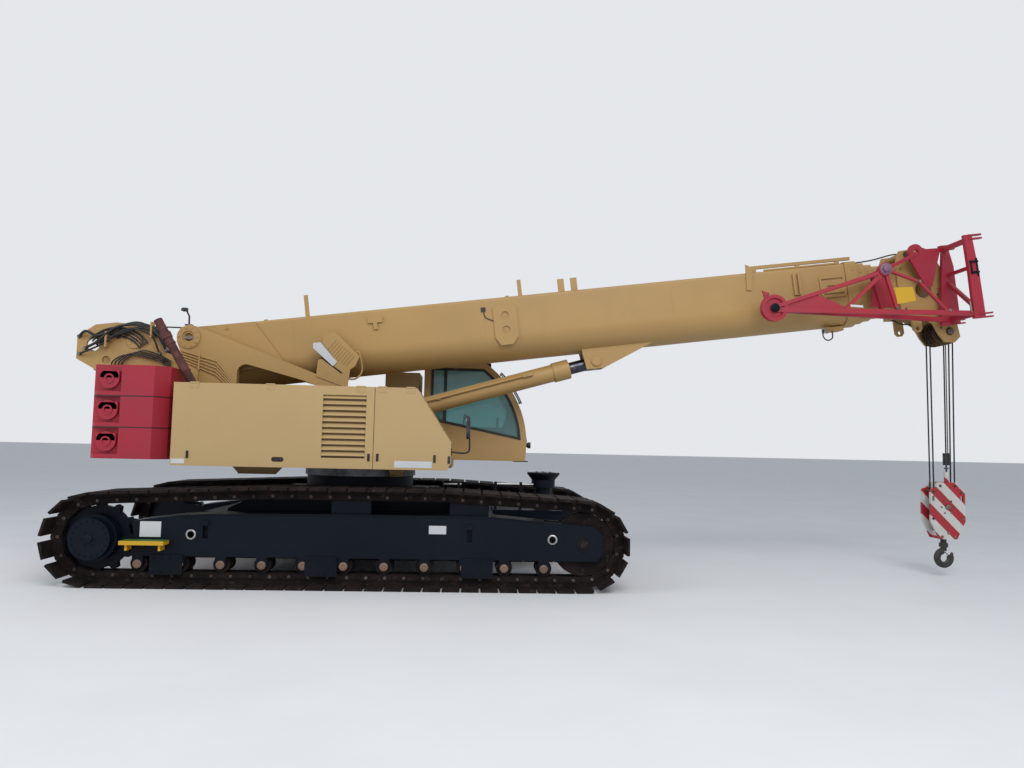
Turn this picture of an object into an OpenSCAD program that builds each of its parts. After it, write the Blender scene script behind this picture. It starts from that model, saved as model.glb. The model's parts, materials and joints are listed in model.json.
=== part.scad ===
// Telescopic crawler crane, parked with its boom low and its tracks drawn in.
// Millimetres. X runs forwards to the boom's head, Y to the cab's side, Z up from the ground.
// Every module is written from the slewing axis; from_slew_axis() then centres the whole crane on X.

/* [Tracks] */
// Distance from the drive sprocket's axle to the idler's
wheel_centres = 6400; // [5800:50:7000]
// Radius of the shoes' outer faces round an end wheel
track_end_r = 605; // [560:5:660]
// Width of a track shoe
shoe_w = 800; // [600:10:900]
// Length of a track shoe along the chain
shoe_len = 226; // [200:1:236]
// Thickness of a track shoe
shoe_t = 35; // [25:1:45]
// Shoes in one track
shoe_count = 63; // [63:1:63]
// Depth of the chain's pins below the shoes' outer faces
pin_depth = 126; // [110:1:140]
// Depth of a link from its pins to the edge that the rollers run on
link_depth = 45; // [35:1:55]
// Width over a chain's two rails
chain_w = 260; // [220:5:300]
// Width of one rail of the chain
rail_w = 75; // [60:1:85]
// Height of the top run over the end wheels' tops
top_rise = 100; // [60:5:130]
// Distance between the two tracks' middles
track_gauge = 2700; // [2640:10:2800]
// Travel of each track as the tracks are spread
gauge_travel = 850; // [500:10:900]

/* [Track frames] */
// Width of a track frame
frame_w = 380; // [340:5:400]
// Underside of a track frame
frame_bottom = 385; // [370:5:400]
// Top of a track frame at mid length
frame_top = 960; // [900:5:980]
// Radius of a bottom roller
roller_r = 110; // [95:1:115]
// Radius of the final drive's drum
drum_r = 265; // [220:5:290]
// Standing out of the final drive from the track's middle
drive_out = 330; // [280:5:360]
// Length of a skid block under the top run
skid_len = 520; // [300:10:600]
// Radius of a lashing eye's hole
lash_r = 42; // [30:1:50]

/* [Undercarriage] */
// Distance of a cross beam from the slewing axis
beam_x = 1700; // [1500:10:1800]
// Height of a sliding beam
beam_h = 330; // [260:5:360]
// Width of a sliding beam
beam_w = 270; // [220:5:300]
// Middle height of the cross beams
beam_z = 720; // [690:5:740]
// Wall of a cross beam's housing
beam_wall = 30; // [20:1:40]
// Top of the slewing ring's lower race
ring_top = 1540; // [1480:5:1560]
// Radius of the slewing ring
ring_r = 820; // [700:10:900]
// Top of the stowed jack's foot
jack_top = 1510; // [1450:5:1525]
// Radius of the stowed jack's foot
jack_r = 250; // [200:5:280]

/* [Upper carriage] */
// Underside of the turntable and its housings
deck_bottom = 1570; // [1560:5:1600]
// Thickness of the turntable's deck
deck_t = 130; // [100:5:160]
// Top of the engine housing
housing_top = 2665; // [2500:5:2750]
// Outer face of the engine housing from the middle
housing_y = 1480; // [1400:5:1500]
// Rear end of the engine housing from the slewing axis
housing_rear = 2310; // [2200:5:2320]
// Panel thickness of the housings and their doors
panel_t = 30; // [20:1:40]
// Height of one counterweight slab
slab_h = 418; // [380:1:420]
// Depth of the counterweight slabs, front to back
slab_depth = 800; // [700:10:860]
// Half width of the counterweight slabs
slab_y = 1400; // [1300:10:1450]
// Radius of the winch drum's flanges
winch_r = 300; // [250:5:310]

/* [Boom] */
// Height of the boom's foot pin
foot_z = 3385; // [3350:5:3420]
// Distance of the foot pin behind the slewing axis
foot_back = 2470; // [2440:5:2500]
// Radius of the foot pin
foot_pin_r = 90; // [70:1:110]
// Angle of the boom over level as parked
boom_angle = 7.5; // [7:0.5:8]
// Length of the base section from its foot pin
base_len = 10150; // [10000:10:10200]
// Width of the base section
base_w = 760; // [740:5:780]
// Height of the base section
base_h = 950; // [930:5:960]
// Height of the base section's top over its foot pin
top_over_pin = 175; // [160:5:190]
// Wall of a boom section
boom_wall = 14; // [10:1:16]
// Free space between one section and the next, on each side
section_gap = 16; // [14:1:20]
// Travel of each telescopic section
section_travel = 8100; // [6000:100:8200]
// Standing out of each section's collar beyond the one before
collar_step = 140; // [120:5:150]

/* [Luffing cylinder] */
// Distance of the cylinder's base pin behind the slewing axis
luff_base_back = 300; // [250:10:350]
// Height of the cylinder's base pin
luff_base_z = 2130; // [2100:10:2160]
// Distance of the cylinder's top pin along the boom
luff_top_u = 5960; // [5900:10:6000]
// Depth of the cylinder's top pin below the boom's foot pin line
luff_top_w = 930; // [920:5:950]
// Radius of the barrel
barrel_r = 135; // [120:1:145]
// Radius of the rod
rod_r = 95; // [80:1:105]
// Rise of the boom from its parked angle
luff_travel = 76; // [60:1:77]

/* [Cab] */
// Front of the cab's sill from the slewing axis
cab_front = 2560; // [2500:10:2600]
// Rear of the cab
cab_rear = 880; // [860:10:900]
// Inner side of the cab from the middle
cab_in_y = 620; // [600:5:640]
// Outer side of the cab from the middle
cab_out_y = 1520; // [1480:5:1540]
// Underside of the cab
cab_bottom = 1660; // [1640:5:1680]
// Top of the cab's roof
cab_top = 3290; // [3250:5:3320]
// Wall of the cab
cab_wall = 45; // [35:1:55]
// Radius of the cab's curved front
screen_r = 1613; // [1550:1:1700]
// Travel of the sliding door
door_travel = 700; // [500:10:720]

/* [Head and hook] */
// Distance of the lower head sheaves ahead of the last section's end
sheave_ahead = 730; // [700:5:750]
// Depth of the lower head sheaves below the foot pin line
sheave_w = 1050; // [1030:5:1070]
// Radius of the head and block sheaves
sheave_r = 200; // [190:1:210]
// Depth of a sheave's groove
groove = 24; // [18:1:30]
// Radius of the hoist rope
rope_r = 11; // [8:1:14]
// Underside of the hook as parked
hook_bottom = 140; // [120:5:200]
// Height of the hook block's cheeks
block_h = 880; // [860:5:900]
// Half length of the hook block's cheeks
block_half = 280; // [250:5:300]

/* [Hidden] */

// Colours
ochre = [0.72, 0.55, 0.30];
crimson = [0.62, 0.10, 0.17];
navy = [0.07, 0.09, 0.12];
rust = [0.20, 0.14, 0.12];
steel = [0.55, 0.55, 0.56];
black = [0.06, 0.06, 0.07];
glass = [0.35, 0.62, 0.62, 0.5];

// Clearances
seat = 0.3;
slip = 0.8;
free = 5;

// The crane's reach, front and rear, and the shift that centres it
tail_x = -4150;
head_u = base_len + 5 * collar_step;
sheave_u = head_u + sheave_ahead;
fork_reach = 925;
fork_u = head_u + fork_reach;
fork_w = 962;
fork_x = -foot_back + fork_u * cos(boom_angle) + fork_w * sin(boom_angle);
sheave_x = -foot_back + sheave_u * cos(boom_angle) + sheave_w * sin(boom_angle);
sheave_z = foot_z + sheave_u * sin(boom_angle) - sheave_w * cos(boom_angle);
head_x = max(fork_x, sheave_x + block_half);
shift_x = -(head_x + tail_x) / 2;

module from_slew_axis() translate([shift_x, 0, 0]) children();

// A profile drawn in X and Z, made a plate from y0 to y0 + t
module plate(y0, t) translate([0, y0 + t, 0]) rotate([90, 0, 0]) linear_extrude(height = t) children();

// A round bar from point p to point q
module bar(p, q, r, fn = 24) {
    d = q - p;
    translate(p)
        rotate([0, acos(d[2] / norm(d)), atan2(d[1], d[0])])
            cylinder(h = norm(d), r = r, $fn = fn);
}

// A round pipe or hose through a list of points, with a fitting at each bend
module run(points, r) {
    for (i = [1 : len(points) - 1]) bar(points[i - 1], points[i], r, 24);
    for (i = [1 : len(points) - 2]) translate(points[i]) sphere(r = r + 3, $fn = 32);
}

// A flat bar in a profile, from point p to point q, w wide
module strip(p, q, w) {
    d = q - p;
    translate(p) rotate([0, 0, atan2(d[1], d[0])]) translate([-w / 2, -w / 2]) square([norm(d) + w, w]);
}

// A round pin or boss along Y
module pin(x, z, r, y0, y1, fn = 48)
    translate([x, y1, z]) rotate([90, 0, 0]) cylinder(h = y1 - y0, r = r, $fn = fn);

module block(x0, x1, y0, y1, z0, z1) translate([x0, y0, z0]) cube([x1 - x0, y1 - y0, z1 - z0]);

// Places its children for the right side (s = -1) or the left (s = 1)
module on_side(s) if (s < 0) children(); else mirror([0, 1, 0]) children();

// Tracks

rail_n = pin_depth - shoe_t + 10;
pin_r = track_end_r - pin_depth;
axle_z = track_end_r;
axle_x = wheel_centres / 2;
top_z = 2 * track_end_r + top_rise - pin_depth;
top_front = 1280;
top_rear = -980;

// The line of the pins, leg by leg: [length, heading at its start, radius of its bend or 0 if straight]
function hyp(a, b) = sqrt(a * a + b * b);
front_slope = axle_x - top_front;
rear_slope = axle_x + top_rear;
legs = [
    [wheel_centres, 0, 0],
    [PI * pin_r, 0, pin_r],
    [hyp(front_slope, top_rise), 180 - atan(top_rise / front_slope), 0],
    [top_front - top_rear, 180, 0],
    [hyp(rear_slope, top_rise), 180 + atan(top_rise / rear_slope), 0],
    [PI * pin_r, 180, pin_r]];
starts = [
    [-axle_x, pin_depth], [axle_x, pin_depth], [axle_x, pin_depth + 2 * pin_r],
    [top_front, top_z], [top_rear, top_z], [-axle_x, pin_depth + 2 * pin_r]];
function leg_end(k) = k < 0 ? 0 : leg_end(k - 1) + legs[k][0];
loop_len = leg_end(5);
pitch = loop_len / shoe_count;
function leg_at(s, k = 0) = k == 5 || s < leg_end(k) ? k : leg_at(s, k + 1);

// [x, z, heading] at a distance s along the pins
function on_leg(k, s) =
    legs[k][2] == 0
        ? [starts[k][0] + s * cos(legs[k][1]), starts[k][1] + s * sin(legs[k][1]), legs[k][1]]
        : let (turn = s / legs[k][2] * 180 / PI, h = legs[k][1] + turn)
            [starts[k][0] + legs[k][2] * (sin(h) - sin(legs[k][1])),
             starts[k][1] - legs[k][2] * (cos(h) - cos(legs[k][1])), h];
function pin_at(s) = let (k = leg_at(s)) on_leg(k, s - leg_end(k - 1));
function off_pin(p, n) = [p[0] + n * sin(p[2]), p[1] - n * cos(p[2])];
// [x, z, heading] of the middle of the link between pin i and the next
function link_at(i) = let (a = pin_at(i * pitch), b = pin_at((i + 1) % shoe_count * pitch))
    [(a[0] + b[0]) / 2, (a[1] + b[1]) / 2, atan2(b[1] - a[1], b[0] - a[0])];

module shoe() translate([-shoe_len / 2, -shoe_w / 2, 0]) cube([shoe_len, shoe_w, shoe_t]);

// The loop of the pins moved outwards by n
module loop(n) polygon([for (i = [0 : shoe_count - 1]) off_pin(pin_at(i * pitch), n)]);

// Chain: two rails under a web that carries the shoes
web_n = 60;
module chain(y) difference() {
    plate(y - chain_w / 2, chain_w) difference() {
        loop(rail_n);
        loop(-link_depth);
    }
    plate(y - chain_w / 2 + rail_w, chain_w - 2 * rail_w) loop(web_n);
}

module track(y) {
    for (i = [0 : shoe_count - 1]) {
        p = link_at(i);
        f = off_pin(p, pin_depth);
        translate([f[0], y, f[1]]) rotate([0, -p[2], 0]) shoe();
    }
    chain(y);
}

module track_right() color(rust) from_slew_axis() track(-track_gauge / 2);
module track_left() color(rust) from_slew_axis() track(track_gauge / 2);

// Wheels inside the track
wheel_r = (pin_r - link_depth) * cos(15) - seat;
run_z = pin_depth + link_depth;
roller_z = run_z + seat + roller_r;
roller_count = 11;
roller_first = -2630;
roller_last = 2670;
roller_axle_r = 40;
rail_out = chain_w / 2;

module wheels(y) {
    for (i = [0 : roller_count - 1]) {
        x = roller_first + i * (roller_last - roller_first) / (roller_count - 1);
        pin(x, roller_z, roller_r, y - rail_out, y + rail_out, 32);
        pin(x, roller_z, roller_axle_r, y - frame_w / 2 + 2, y + frame_w / 2 - 2, 24);
    }
    pin(axle_x, axle_z, wheel_r, y - rail_out + 10, y + rail_out - 10, 96);
    pin(axle_x, axle_z, 90, y - frame_w / 2 - 15, y + frame_w / 2 + 15, 48);
}

module wheels_right() color(rust) from_slew_axis() wheels(-track_gauge / 2);
module wheels_left() color(rust) from_slew_axis() wheels(track_gauge / 2);

// The drive sprocket, its teeth between the chain's rails, and the drum of its gearing
tooth_count = 12;
tooth_w = chain_w - 2 * rail_w - 2 * free;
module final_drive(s) on_side(s) {
    y = -track_gauge / 2;
    plate(y - tooth_w / 2, tooth_w)
        translate([-axle_x, axle_z]) {
            circle(r = wheel_r - 10, $fn = 96);
            for (i = [0 : tooth_count - 1])
                rotate([0, 0, i * 360 / tooth_count])
                    polygon([[wheel_r - 60, -75], [pin_r - 10, -30], [pin_r - 10, 30], [wheel_r - 60, 75]]);
        }
    pin(-axle_x, axle_z, drum_r + 40, y - frame_w / 2 - 20, y - tooth_w / 2 - 20, 96);
    pin(-axle_x, axle_z, drum_r - 60, y - tooth_w / 2 - 25, y - tooth_w / 2 + 5, 64);
    pin(-axle_x, axle_z, drum_r, y - drive_out, y - frame_w / 2 - 15, 96);
    pin(-axle_x, axle_z, drum_r - 70, y + tooth_w / 2 - 5, y + frame_w / 2 - 30 - seat, 64);
    pin(-axle_x, axle_z, 100 - seat, y + frame_w / 2 - 31, y + frame_w / 2, 64);
}
module final_drive_right() color(navy) from_slew_axis() final_drive(-1);
module final_drive_left() color(navy) from_slew_axis() final_drive(1);

// The track frame: a welded box with skid blocks on top and forks round the idler and the drive
module frame_outline() {
    polygon([
        [-2790, 720], [-2700, frame_top - 120], [-2140, frame_top - 45], [-1720, frame_top - 20],
        [0, frame_top], [1980, frame_top], [2950, frame_top - 80], [3340, 850],
        [3460, 730], [3460, 470], [3380, frame_bottom], [-2790, frame_bottom]]);
}

// Lashing eyes: x, depth of the bore
lash = [[-1960, 120], [2780, 50]];
// Underside of the chain's top run at x
function run_under(x) = top_z - link_depth - free
    - max(0, x - top_front) * top_rise / front_slope - max(0, top_rear - x) * top_rise / rear_slope;
skid_x = [90, 1660];
slot_x = [-1780, 1670];
lane = [-beam_w / 2 - 5, beam_w / 2 + 5];

module track_frame(s) on_side(s) {
    y = -track_gauge / 2;
    in_y = y + frame_w / 2;
    out_y = y - frame_w / 2;
    difference() {
        plate(out_y, frame_w) frame_outline();
        // room for the idler and its yoke
        block(axle_x - 520, axle_x + 400, y - rail_out - free, y + rail_out + free, 300, 1100);
        // room for the sprocket
        pin(-axle_x, axle_z, pin_r + 30, out_y - 10, in_y + 10, 96);
        // bore of the idler's axle
        pin(axle_x, axle_z, 90 + seat, out_y - 20, in_y + 20, 48);
        // room for the bottom rollers
        for (i = [0 : roller_count - 1]) {
            x = roller_first + i * (roller_last - roller_first) / (roller_count - 1);
            pin(x, roller_z, roller_r + 12, y - rail_out - free, y + rail_out + free, 32);
        }
        for (e = lash) pin(e[0], 670, lash_r, out_y - 10, out_y + e[1]);
        for (x = slot_x) block(x - 35, x + 35, out_y - 10, out_y + 60, 620, 780);
    }
    // lashing rims and lugs over the slots
    for (e = lash)
        difference() {
            pin(e[0], 670, lash_r + 22, out_y - 22, out_y + 1);
            pin(e[0], 670, lash_r, out_y - 30, out_y + 10);
        }
    for (x = slot_x) block(x - 45, x + 45, out_y - 30, out_y, 790, 850);
    // skid blocks under the top run
    for (x = skid_x)
        plate(y - rail_out, chain_w)
            polygon([
                [x - skid_len / 2, frame_top - 60], [x + skid_len / 2, frame_top - 60],
                [x + skid_len / 2, run_under(x + skid_len / 2)], [x, run_under(x)],
                [x - skid_len / 2, run_under(x - skid_len / 2)]]);
    // flange along the top edge
    plate(out_y - 15, frame_w + 30)
        polygon([
            [-2140, frame_top - 45], [-1720, frame_top - 20], [0, frame_top], [1980, frame_top], [2650, frame_top - 55],
            [2650, frame_top - 70], [1980, frame_top - 15], [0, frame_top - 15], [-1720, frame_top - 35],
            [-2140, frame_top - 60]]);
    // roller brackets and stone guards
    for (x = [-2260, -270, 1780])
        for (e = [out_y - 20, in_y - 1])
            block(x - 210, x + 210, e, e + 21, 150, frame_bottom + 20);
    for (i = [0 : roller_count - 1]) {
        x = roller_first + i * (roller_last - roller_first) / (roller_count - 1);
        for (e = [out_y, y + rail_out + free])
            difference() {
                block(x - 70, x + 70, e, e + (frame_w - chain_w) / 2 - free, roller_z - 20, frame_bottom + 20);
                pin(x, roller_z, roller_axle_r + seat, e - 5, e + 70, 24);
            }
    }
    // inner plate that carries the final drive
    difference() {
        plate(in_y - 30, 30) {
            translate([-axle_x, axle_z]) circle(r = drum_r + 40, $fn = 96);
            polygon([[-axle_x, axle_z - 260], [-2600, 420], [-2600, 800], [-axle_x, axle_z + 260]]);
        }
        pin(-axle_x, axle_z, 100, in_y - 40, in_y + 10, 64);
    }
    // sliding beams, in one lane on the right and the other on the left
    for (k = [-1, 1])
        block(k * beam_x + s * 150 + lane[0] + 5, k * beam_x + s * 150 + lane[1] - 5,
            in_y - 5, -y - frame_w / 2 - 320, beam_z - beam_h / 2, beam_z + beam_h / 2);
}
module track_frame_right() color(navy) from_slew_axis() track_frame(-1);
module track_frame_left() color(navy) from_slew_axis() track_frame(1);

// Folding step outside the frame
module step(s) on_side(s) {
    y = -track_gauge / 2 - frame_w / 2;
    block(-2800, -2240, y - 190, y - seat, 545, 595);
    for (x = [-2740, -2320]) block(x, x + 30, y - 150, y - seat, 470, 546);
}
module step_right() color([0.75, 0.6, 0.05]) from_slew_axis() step(-1);
module step_left() color([0.75, 0.6, 0.05]) from_slew_axis() step(1);

// Undercarriage: a centre box with two cross beam housings
body_x = 1150;
body_y = 900;
house_y = track_gauge / 2 - shoe_w / 2 - 20;
house_x = 150 + beam_w / 2 + beam_wall + slip;
house_z = beam_h / 2 + beam_wall + slip;
module undercarriage() color(navy) from_slew_axis() {
    difference() {
        union() {
            plate(-body_y, 2 * body_y)
                polygon([
                    [-beam_x, 560], [beam_x, 560], [beam_x, 960], [body_x, 1230],
                    [-body_x, 1230], [-beam_x, 960]]);
            for (k = [-1, 1])
                block(k * beam_x - house_x, k * beam_x + house_x, -house_y, house_y,
                    beam_z - house_z, beam_z + house_z);
            translate([0, 0, 1200]) cylinder(h = ring_top - 110 - 1200, r = ring_r - 30, $fn = 96);
        }
        for (k = [-1, 1])
            for (j = [-1, 1])
                block(k * beam_x + j * 150 - beam_w / 2 - slip, k * beam_x + j * 150 + beam_w / 2 + slip,
                    -house_y - 10, house_y + 10, beam_z - beam_h / 2 - slip, beam_z + beam_h / 2 + slip);
    }
    // front apron that carries the stowed jack
    block(beam_x + house_x - 5, 3050, -400, 400, 900, 960);
    block(beam_x + house_x - 5, 2600, -400, 400, 760, 905);
}

module slew_ring() color(steel) from_slew_axis()
    translate([0, 0, ring_top - 110]) difference() {
        cylinder(h = 110, r = ring_r, $fn = 96);
        translate([0, 0, -1]) cylinder(h = 112, r = ring_r - 160, $fn = 96);
    }

jack_x = 2790;
module support_jack() color(navy) from_slew_axis() translate([jack_x, 0, 0]) {
    translate([0, 0, 960]) cylinder(h = 330, r = 130, $fn = 48);
    translate([0, 0, 1280]) cylinder(h = 130, r = 180, $fn = 64);
    translate([0, 0, 1400]) cylinder(h = jack_top - 1400 - 25, r1 = 180, r2 = jack_r, $fn = 64);
    translate([0, 0, jack_top - 26]) cylinder(h = 26, r = jack_r, $fn = 64);
}

// Upper carriage

slab_z = 1630;
slab_count = 3;
horn_top = slab_z + slab_count * (slab_h + seat) - seat;
arm_y0 = 460;
arm_t = 130;
ring_t = 18;
deck_front = 1390;
deck_rear = -2300;
// inner faces of the housings, from the middle
house_in_y = arm_y0 + arm_t + 60;
horn_y = house_in_y - 10;
cab_deck_y = cab_in_y - 20;

module arm_outline() difference() {
    union() {
        polygon([
            [-2640, foot_z - 60], [-2600, foot_z + 130], [-2470, foot_z + 185], [-2330, foot_z + 150],
            [-260, 2760], [700, 2480], [1250, 1900], [1300, deck_bottom + 60], [deck_rear, deck_bottom + 60],
            [-2350, 2600]]);
    }
    // opening behind the boom's foot, round at its upper rear corner
    polygon([[-1760, 2350], [-1760, 2880], [-1600, 3007], [-820, 2800], [-400, 2650], [-330, 2560], [-330, 2350]]);
    translate([-1630, 2880]) circle(r = 130, $fn = 64);
    // bore of the foot pin
    translate([-foot_back, foot_z]) circle(r = foot_pin_r + seat, $fn = 64);
    translate([-luff_base_back, luff_base_z]) circle(r = 75 + seat, $fn = 64);
}

module turntable() color(ochre) from_slew_axis() {
    difference() {
        translate([0, 0, deck_bottom]) linear_extrude(height = deck_t)
            polygon([
                [deck_rear, -house_in_y + seat], [deck_front, -house_in_y + seat], [deck_front, cab_deck_y - seat],
                [cab_rear - 20, cab_deck_y - seat], [cab_rear - 20, house_in_y - seat], [deck_rear, house_in_y - seat]]);
        translate([0, 0, deck_bottom - 1]) cylinder(h = deck_t + 2, r = 350, $fn = 64);
    }
    // upper race of the slewing ring, clear of the housings' floors
    translate([0, 0, ring_top + seat]) difference() {
        cylinder(h = deck_bottom - ring_top - 2 * seat, r = ring_r - 20, $fn = 96);
        translate([0, 0, -1]) cylinder(h = deck_bottom - ring_top + 2, r = ring_r - 200, $fn = 96);
    }
    translate([0, 0, ring_top + seat]) difference() {
        cylinder(h = deck_bottom - ring_top, r = ring_r - 180, $fn = 96);
        translate([0, 0, -1]) cylinder(h = deck_bottom - ring_top + 2, r = ring_r - 320, $fn = 96);
    }
    for (s = [-1, 1])
        plate(s < 0 ? -arm_y0 - arm_t : arm_y0, arm_t) arm_outline();
    // rings round the pins of the boom's foot and of the luffing cylinder: x, z, outer radius, bore
    for (b = [[-foot_back, foot_z, 165, foot_pin_r + seat], [-luff_base_back, luff_base_z, 130, 75 + seat]])
        for (y = [-arm_y0 - arm_t - ring_t, arm_y0 + arm_t - 1])
            difference() {
                pin(b[0], b[1], b[2], y, y + ring_t + 1, 64);
                pin(b[0], b[1], b[3], y - 5, y + ring_t + 5, 64);
            }
    // cross plates between the arms
    block(deck_rear, deck_rear + 60, -arm_y0 - 5, arm_y0 + 5, deck_bottom + 60, 2500);
    block(500, 560, -arm_y0 - 5, arm_y0 + 5, deck_bottom + 60, 1950);
    // rear horn that carries the counterweight
    block(-2560, deck_rear + 5, -horn_y, horn_y, deck_bottom + 100, horn_top);
}

module slab(z0) difference() {
    union() {
        translate([0, 0, z0]) linear_extrude(height = slab_h)
            polygon([
                [-3400, -slab_y + 60], [-3340, -slab_y], [-2600, -slab_y], [-2450, -slab_y + 180],
                [-2450, slab_y - 180], [-2600, slab_y], [-3340, slab_y], [-3400, slab_y - 60]]);
    }
    // notch for the horn
    block(-2560 - seat, -2300, -horn_y - seat, horn_y + seat, z0 - 1, z0 + slab_h + 1);
    // pockets round the lifting lugs
    for (s = [-1, 1])
        difference() {
            block(-3500, -3030, s < 0 ? -slab_y - 10 : slab_y - 60, s < 0 ? -slab_y + 60 : slab_y + 10,
                z0 + 60, z0 + slab_h + 10);
            pin(-3190, z0 + 230, 130, s < 0 ? -slab_y - 20 : slab_y - 70, s < 0 ? -slab_y + 70 : slab_y + 20);
        }
}
module counterweights() color(crimson) from_slew_axis()
    for (i = [0 : slab_count - 1]) slab(slab_z + i * (slab_h + seat));

module engine_block() color(navy) from_slew_axis()
    block(-2000, 100, -1400, -1000, deck_bottom + panel_t + seat, 2350);

// Outline of a housing's side, seen along Y
module housing_outline(x0, x1) polygon([
    [x0, deck_bottom], [x1 - 50, deck_bottom], [x1, deck_bottom + 80], [x1, 1940],
    [x1 - 480, housing_top], [x0, housing_top]]);

housing_front = 1390;
door_seam = 350;
slot_count = 9;
nose_low = [housing_front, 1940];
nose_high = [housing_front - 480, housing_top];
nose_out = [nose_high[1] - nose_low[1], nose_low[0] - nose_high[0]] / norm(nose_high - nose_low);

// Fixed part of the engine housing: floor, roof, rear, front and inner walls
module engine_housing() color(ochre) from_slew_axis() {
    in_y = -house_in_y;
    t = panel_t;
    difference() {
        plate(-housing_y + t + seat, housing_y - t - seat + in_y) housing_outline(-housing_rear, housing_front);
        translate([0, -1, 0])
            plate(-housing_y - 10, housing_y + 10 + in_y - t)
                polygon([
                    [-housing_rear + t, deck_bottom + t], [housing_front - 60, deck_bottom + t],
                    [housing_front - t, deck_bottom + 90], [housing_front - t, 1935],
                    [housing_front - 495, housing_top - t], [-housing_rear + t, housing_top - t]]);
        // slots through the slanted front
        for (i = [1 : slot_count]) {
            p = nose_low + (i + 0.5) / (slot_count + 2) * (nose_high - nose_low);
            plate(-1400, 520) strip(p - 40 * nose_out, p + 40 * nose_out, 34);
        }
    }
}

// Doors over the outer side, hinged along the roof's edge
knuckle_r = 12;
module knuckle(x) translate([x, -housing_y, housing_top]) rotate([0, 90, 0]) cylinder(h = 120, r = knuckle_r, $fn = 32);
louvre_x = [-340, 240];
louvre_z = [1700, 2545];
louvre_count = 11;
module engine_door_rear() color(ochre) from_slew_axis() {
    pitch_z = (louvre_z[1] - louvre_z[0]) / louvre_count;
    difference() {
        plate(-housing_y, panel_t)
            polygon([
                [-housing_rear, deck_bottom - 10], [door_seam - 4, deck_bottom - 10],
                [door_seam - 4, housing_top], [-housing_rear, housing_top]]);
        // opening behind the louvres
        block(louvre_x[0], louvre_x[1], -housing_y - 10, -housing_y + panel_t + 10, louvre_z[0], louvre_z[1]);
        // recessed handle
        plate(-housing_y - 10, 26) {
            for (x = [-960, -860]) translate([x, 1665]) circle(r = 32, $fn = 32);
            translate([-960, 1633]) square([100, 64]);
        }
    }
    for (i = [0 : louvre_count - 1])
        translate([louvre_x[0] - 2, -housing_y + 4, louvre_z[0] + (i + 0.35) * pitch_z]) rotate([52, 0, 0])
            cube([louvre_x[1] - louvre_x[0] + 4, 62, 5]);
    for (x = [-2100, -1100, 100]) knuckle(x);
}
module engine_door_front() color(ochre) from_slew_axis() {
    plate(-housing_y, panel_t)
        polygon([
            [door_seam + 4, deck_bottom - 10], [housing_front - 50, deck_bottom - 10],
            [housing_front, deck_bottom + 80], [housing_front, 1940],
            [housing_front - 480, housing_top], [door_seam + 4, housing_top]]);
    for (x = [door_seam + 40, housing_front - 620]) knuckle(x);
}

// Housing of the tanks behind the cab
module left_housing() color(ochre) from_slew_axis() {
    y = house_in_y;
    t = panel_t;
    difference() {
        union() {
            block(-housing_rear, 250, y, housing_y, deck_bottom, housing_top);
            block(249, 800, y, housing_y, deck_bottom, 3060);
        }
        block(-housing_rear + t, 250 - t, y + t, housing_y - t, deck_bottom + t, housing_top - t);
        block(249 + t, 800 - t, y + t, housing_y - t, deck_bottom + t, 3060 - t);
    }
}

module exhaust() color([0.30, 0.18, 0.16]) from_slew_axis() difference() {
    bar([-2180, -950, 2560], [-2780, -950, 3570], 60, 32);
    block(-2500, -2000, -1100, -800, 2400, housing_top + seat);
    bar([-2700, -950, 3435], [-2800, -950, 3604], 50, 32);
}

// Winch behind the boom's foot
winch_x = -3330;
winch_z = 3330;
winch_y = 330;
winch_front = -foot_back - 160;
module winch_frame() color(ochre) from_slew_axis() {
    for (s = [-1, 1])
        difference() {
            plate(s < 0 ? -winch_y - 40 : winch_y, 40)
                difference() {
                    polygon([
                        [tail_x, 3050], [-3850, horn_top + seat], [winch_front, horn_top + seat], [winch_front, 3060],
                        [-2900, 3200], [-3100, 3560], [-3600, 3600], [-3900, 3560], [tail_x, 3380]]);
                    // lightening holes: x, z, radius
                    for (h = [[-3920, 3260, 95], [-3720, 3040, 60], [-2860, 3030, 60]])
                        translate([h[0], h[1]]) circle(r = h[2], $fn = 48);
                }
            pin(winch_x, winch_z, 60 + seat, s < 0 ? -winch_y - 50 : winch_y - 10, s < 0 ? -winch_y + 10 : winch_y + 50);
        }
    block(-3900, winch_front, -winch_y - 20, winch_y + 20, horn_top + seat, horn_top + 30);
    // tie bars between the sides: x, z
    for (b = [[-4060, 3180], [-3980, 3420], [-3000, 3260]]) pin(b[0], b[1], 30, -winch_y - 5, winch_y + 5, 24);
}
module winch_drum() color(rust) from_slew_axis() {
    for (s = [-1, 1]) pin(winch_x, winch_z, winch_r, s < 0 ? -winch_y + 5 : winch_y - 25, s < 0 ? -winch_y + 25 : winch_y - 5, 64);
    pin(winch_x, winch_z, winch_r - 50, -winch_y + 20, winch_y - 20, 64);
    pin(winch_x, winch_z, 60, -winch_y - 40, winch_y + 40, 48);
}

// Hoses that arch over the winch frame's near plate, held by a clamp
module tail_hoses() color(black) from_slew_axis() {
    y = -winch_y - 40 - seat;
    block(-3580, -3540, y - 34, y, 3360, 3550);
    for (i = [0 : 3])
        translate([-3560, y - 17, 3000]) rotate([90, 0, 0])
            rotate([0, 0, 35]) rotate_extrude(angle = 105, $fn = 96) translate([520 - 42 * i, 0]) circle(r = 14, $fn = 10);
}

module boom_pipes() color(ochre) from_slew_axis() {
    y = -arm_y0 - arm_t - seat - 14;
    for (i = [0 : 4]) {
        run([[-2560, y, 3180 - 34 * i], [-2050, y, 3040 - 50 * i], [-1780, y, 2720 - 30 * i]], 11);
    }
    block(-2310, -2285, y - 20, y + 14, 2900, 3130);
}

// Cab: side walls, floor, roof and rear, with the windows cut
screen_x = cab_front - 1611;
screen_z = 1920;
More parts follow.
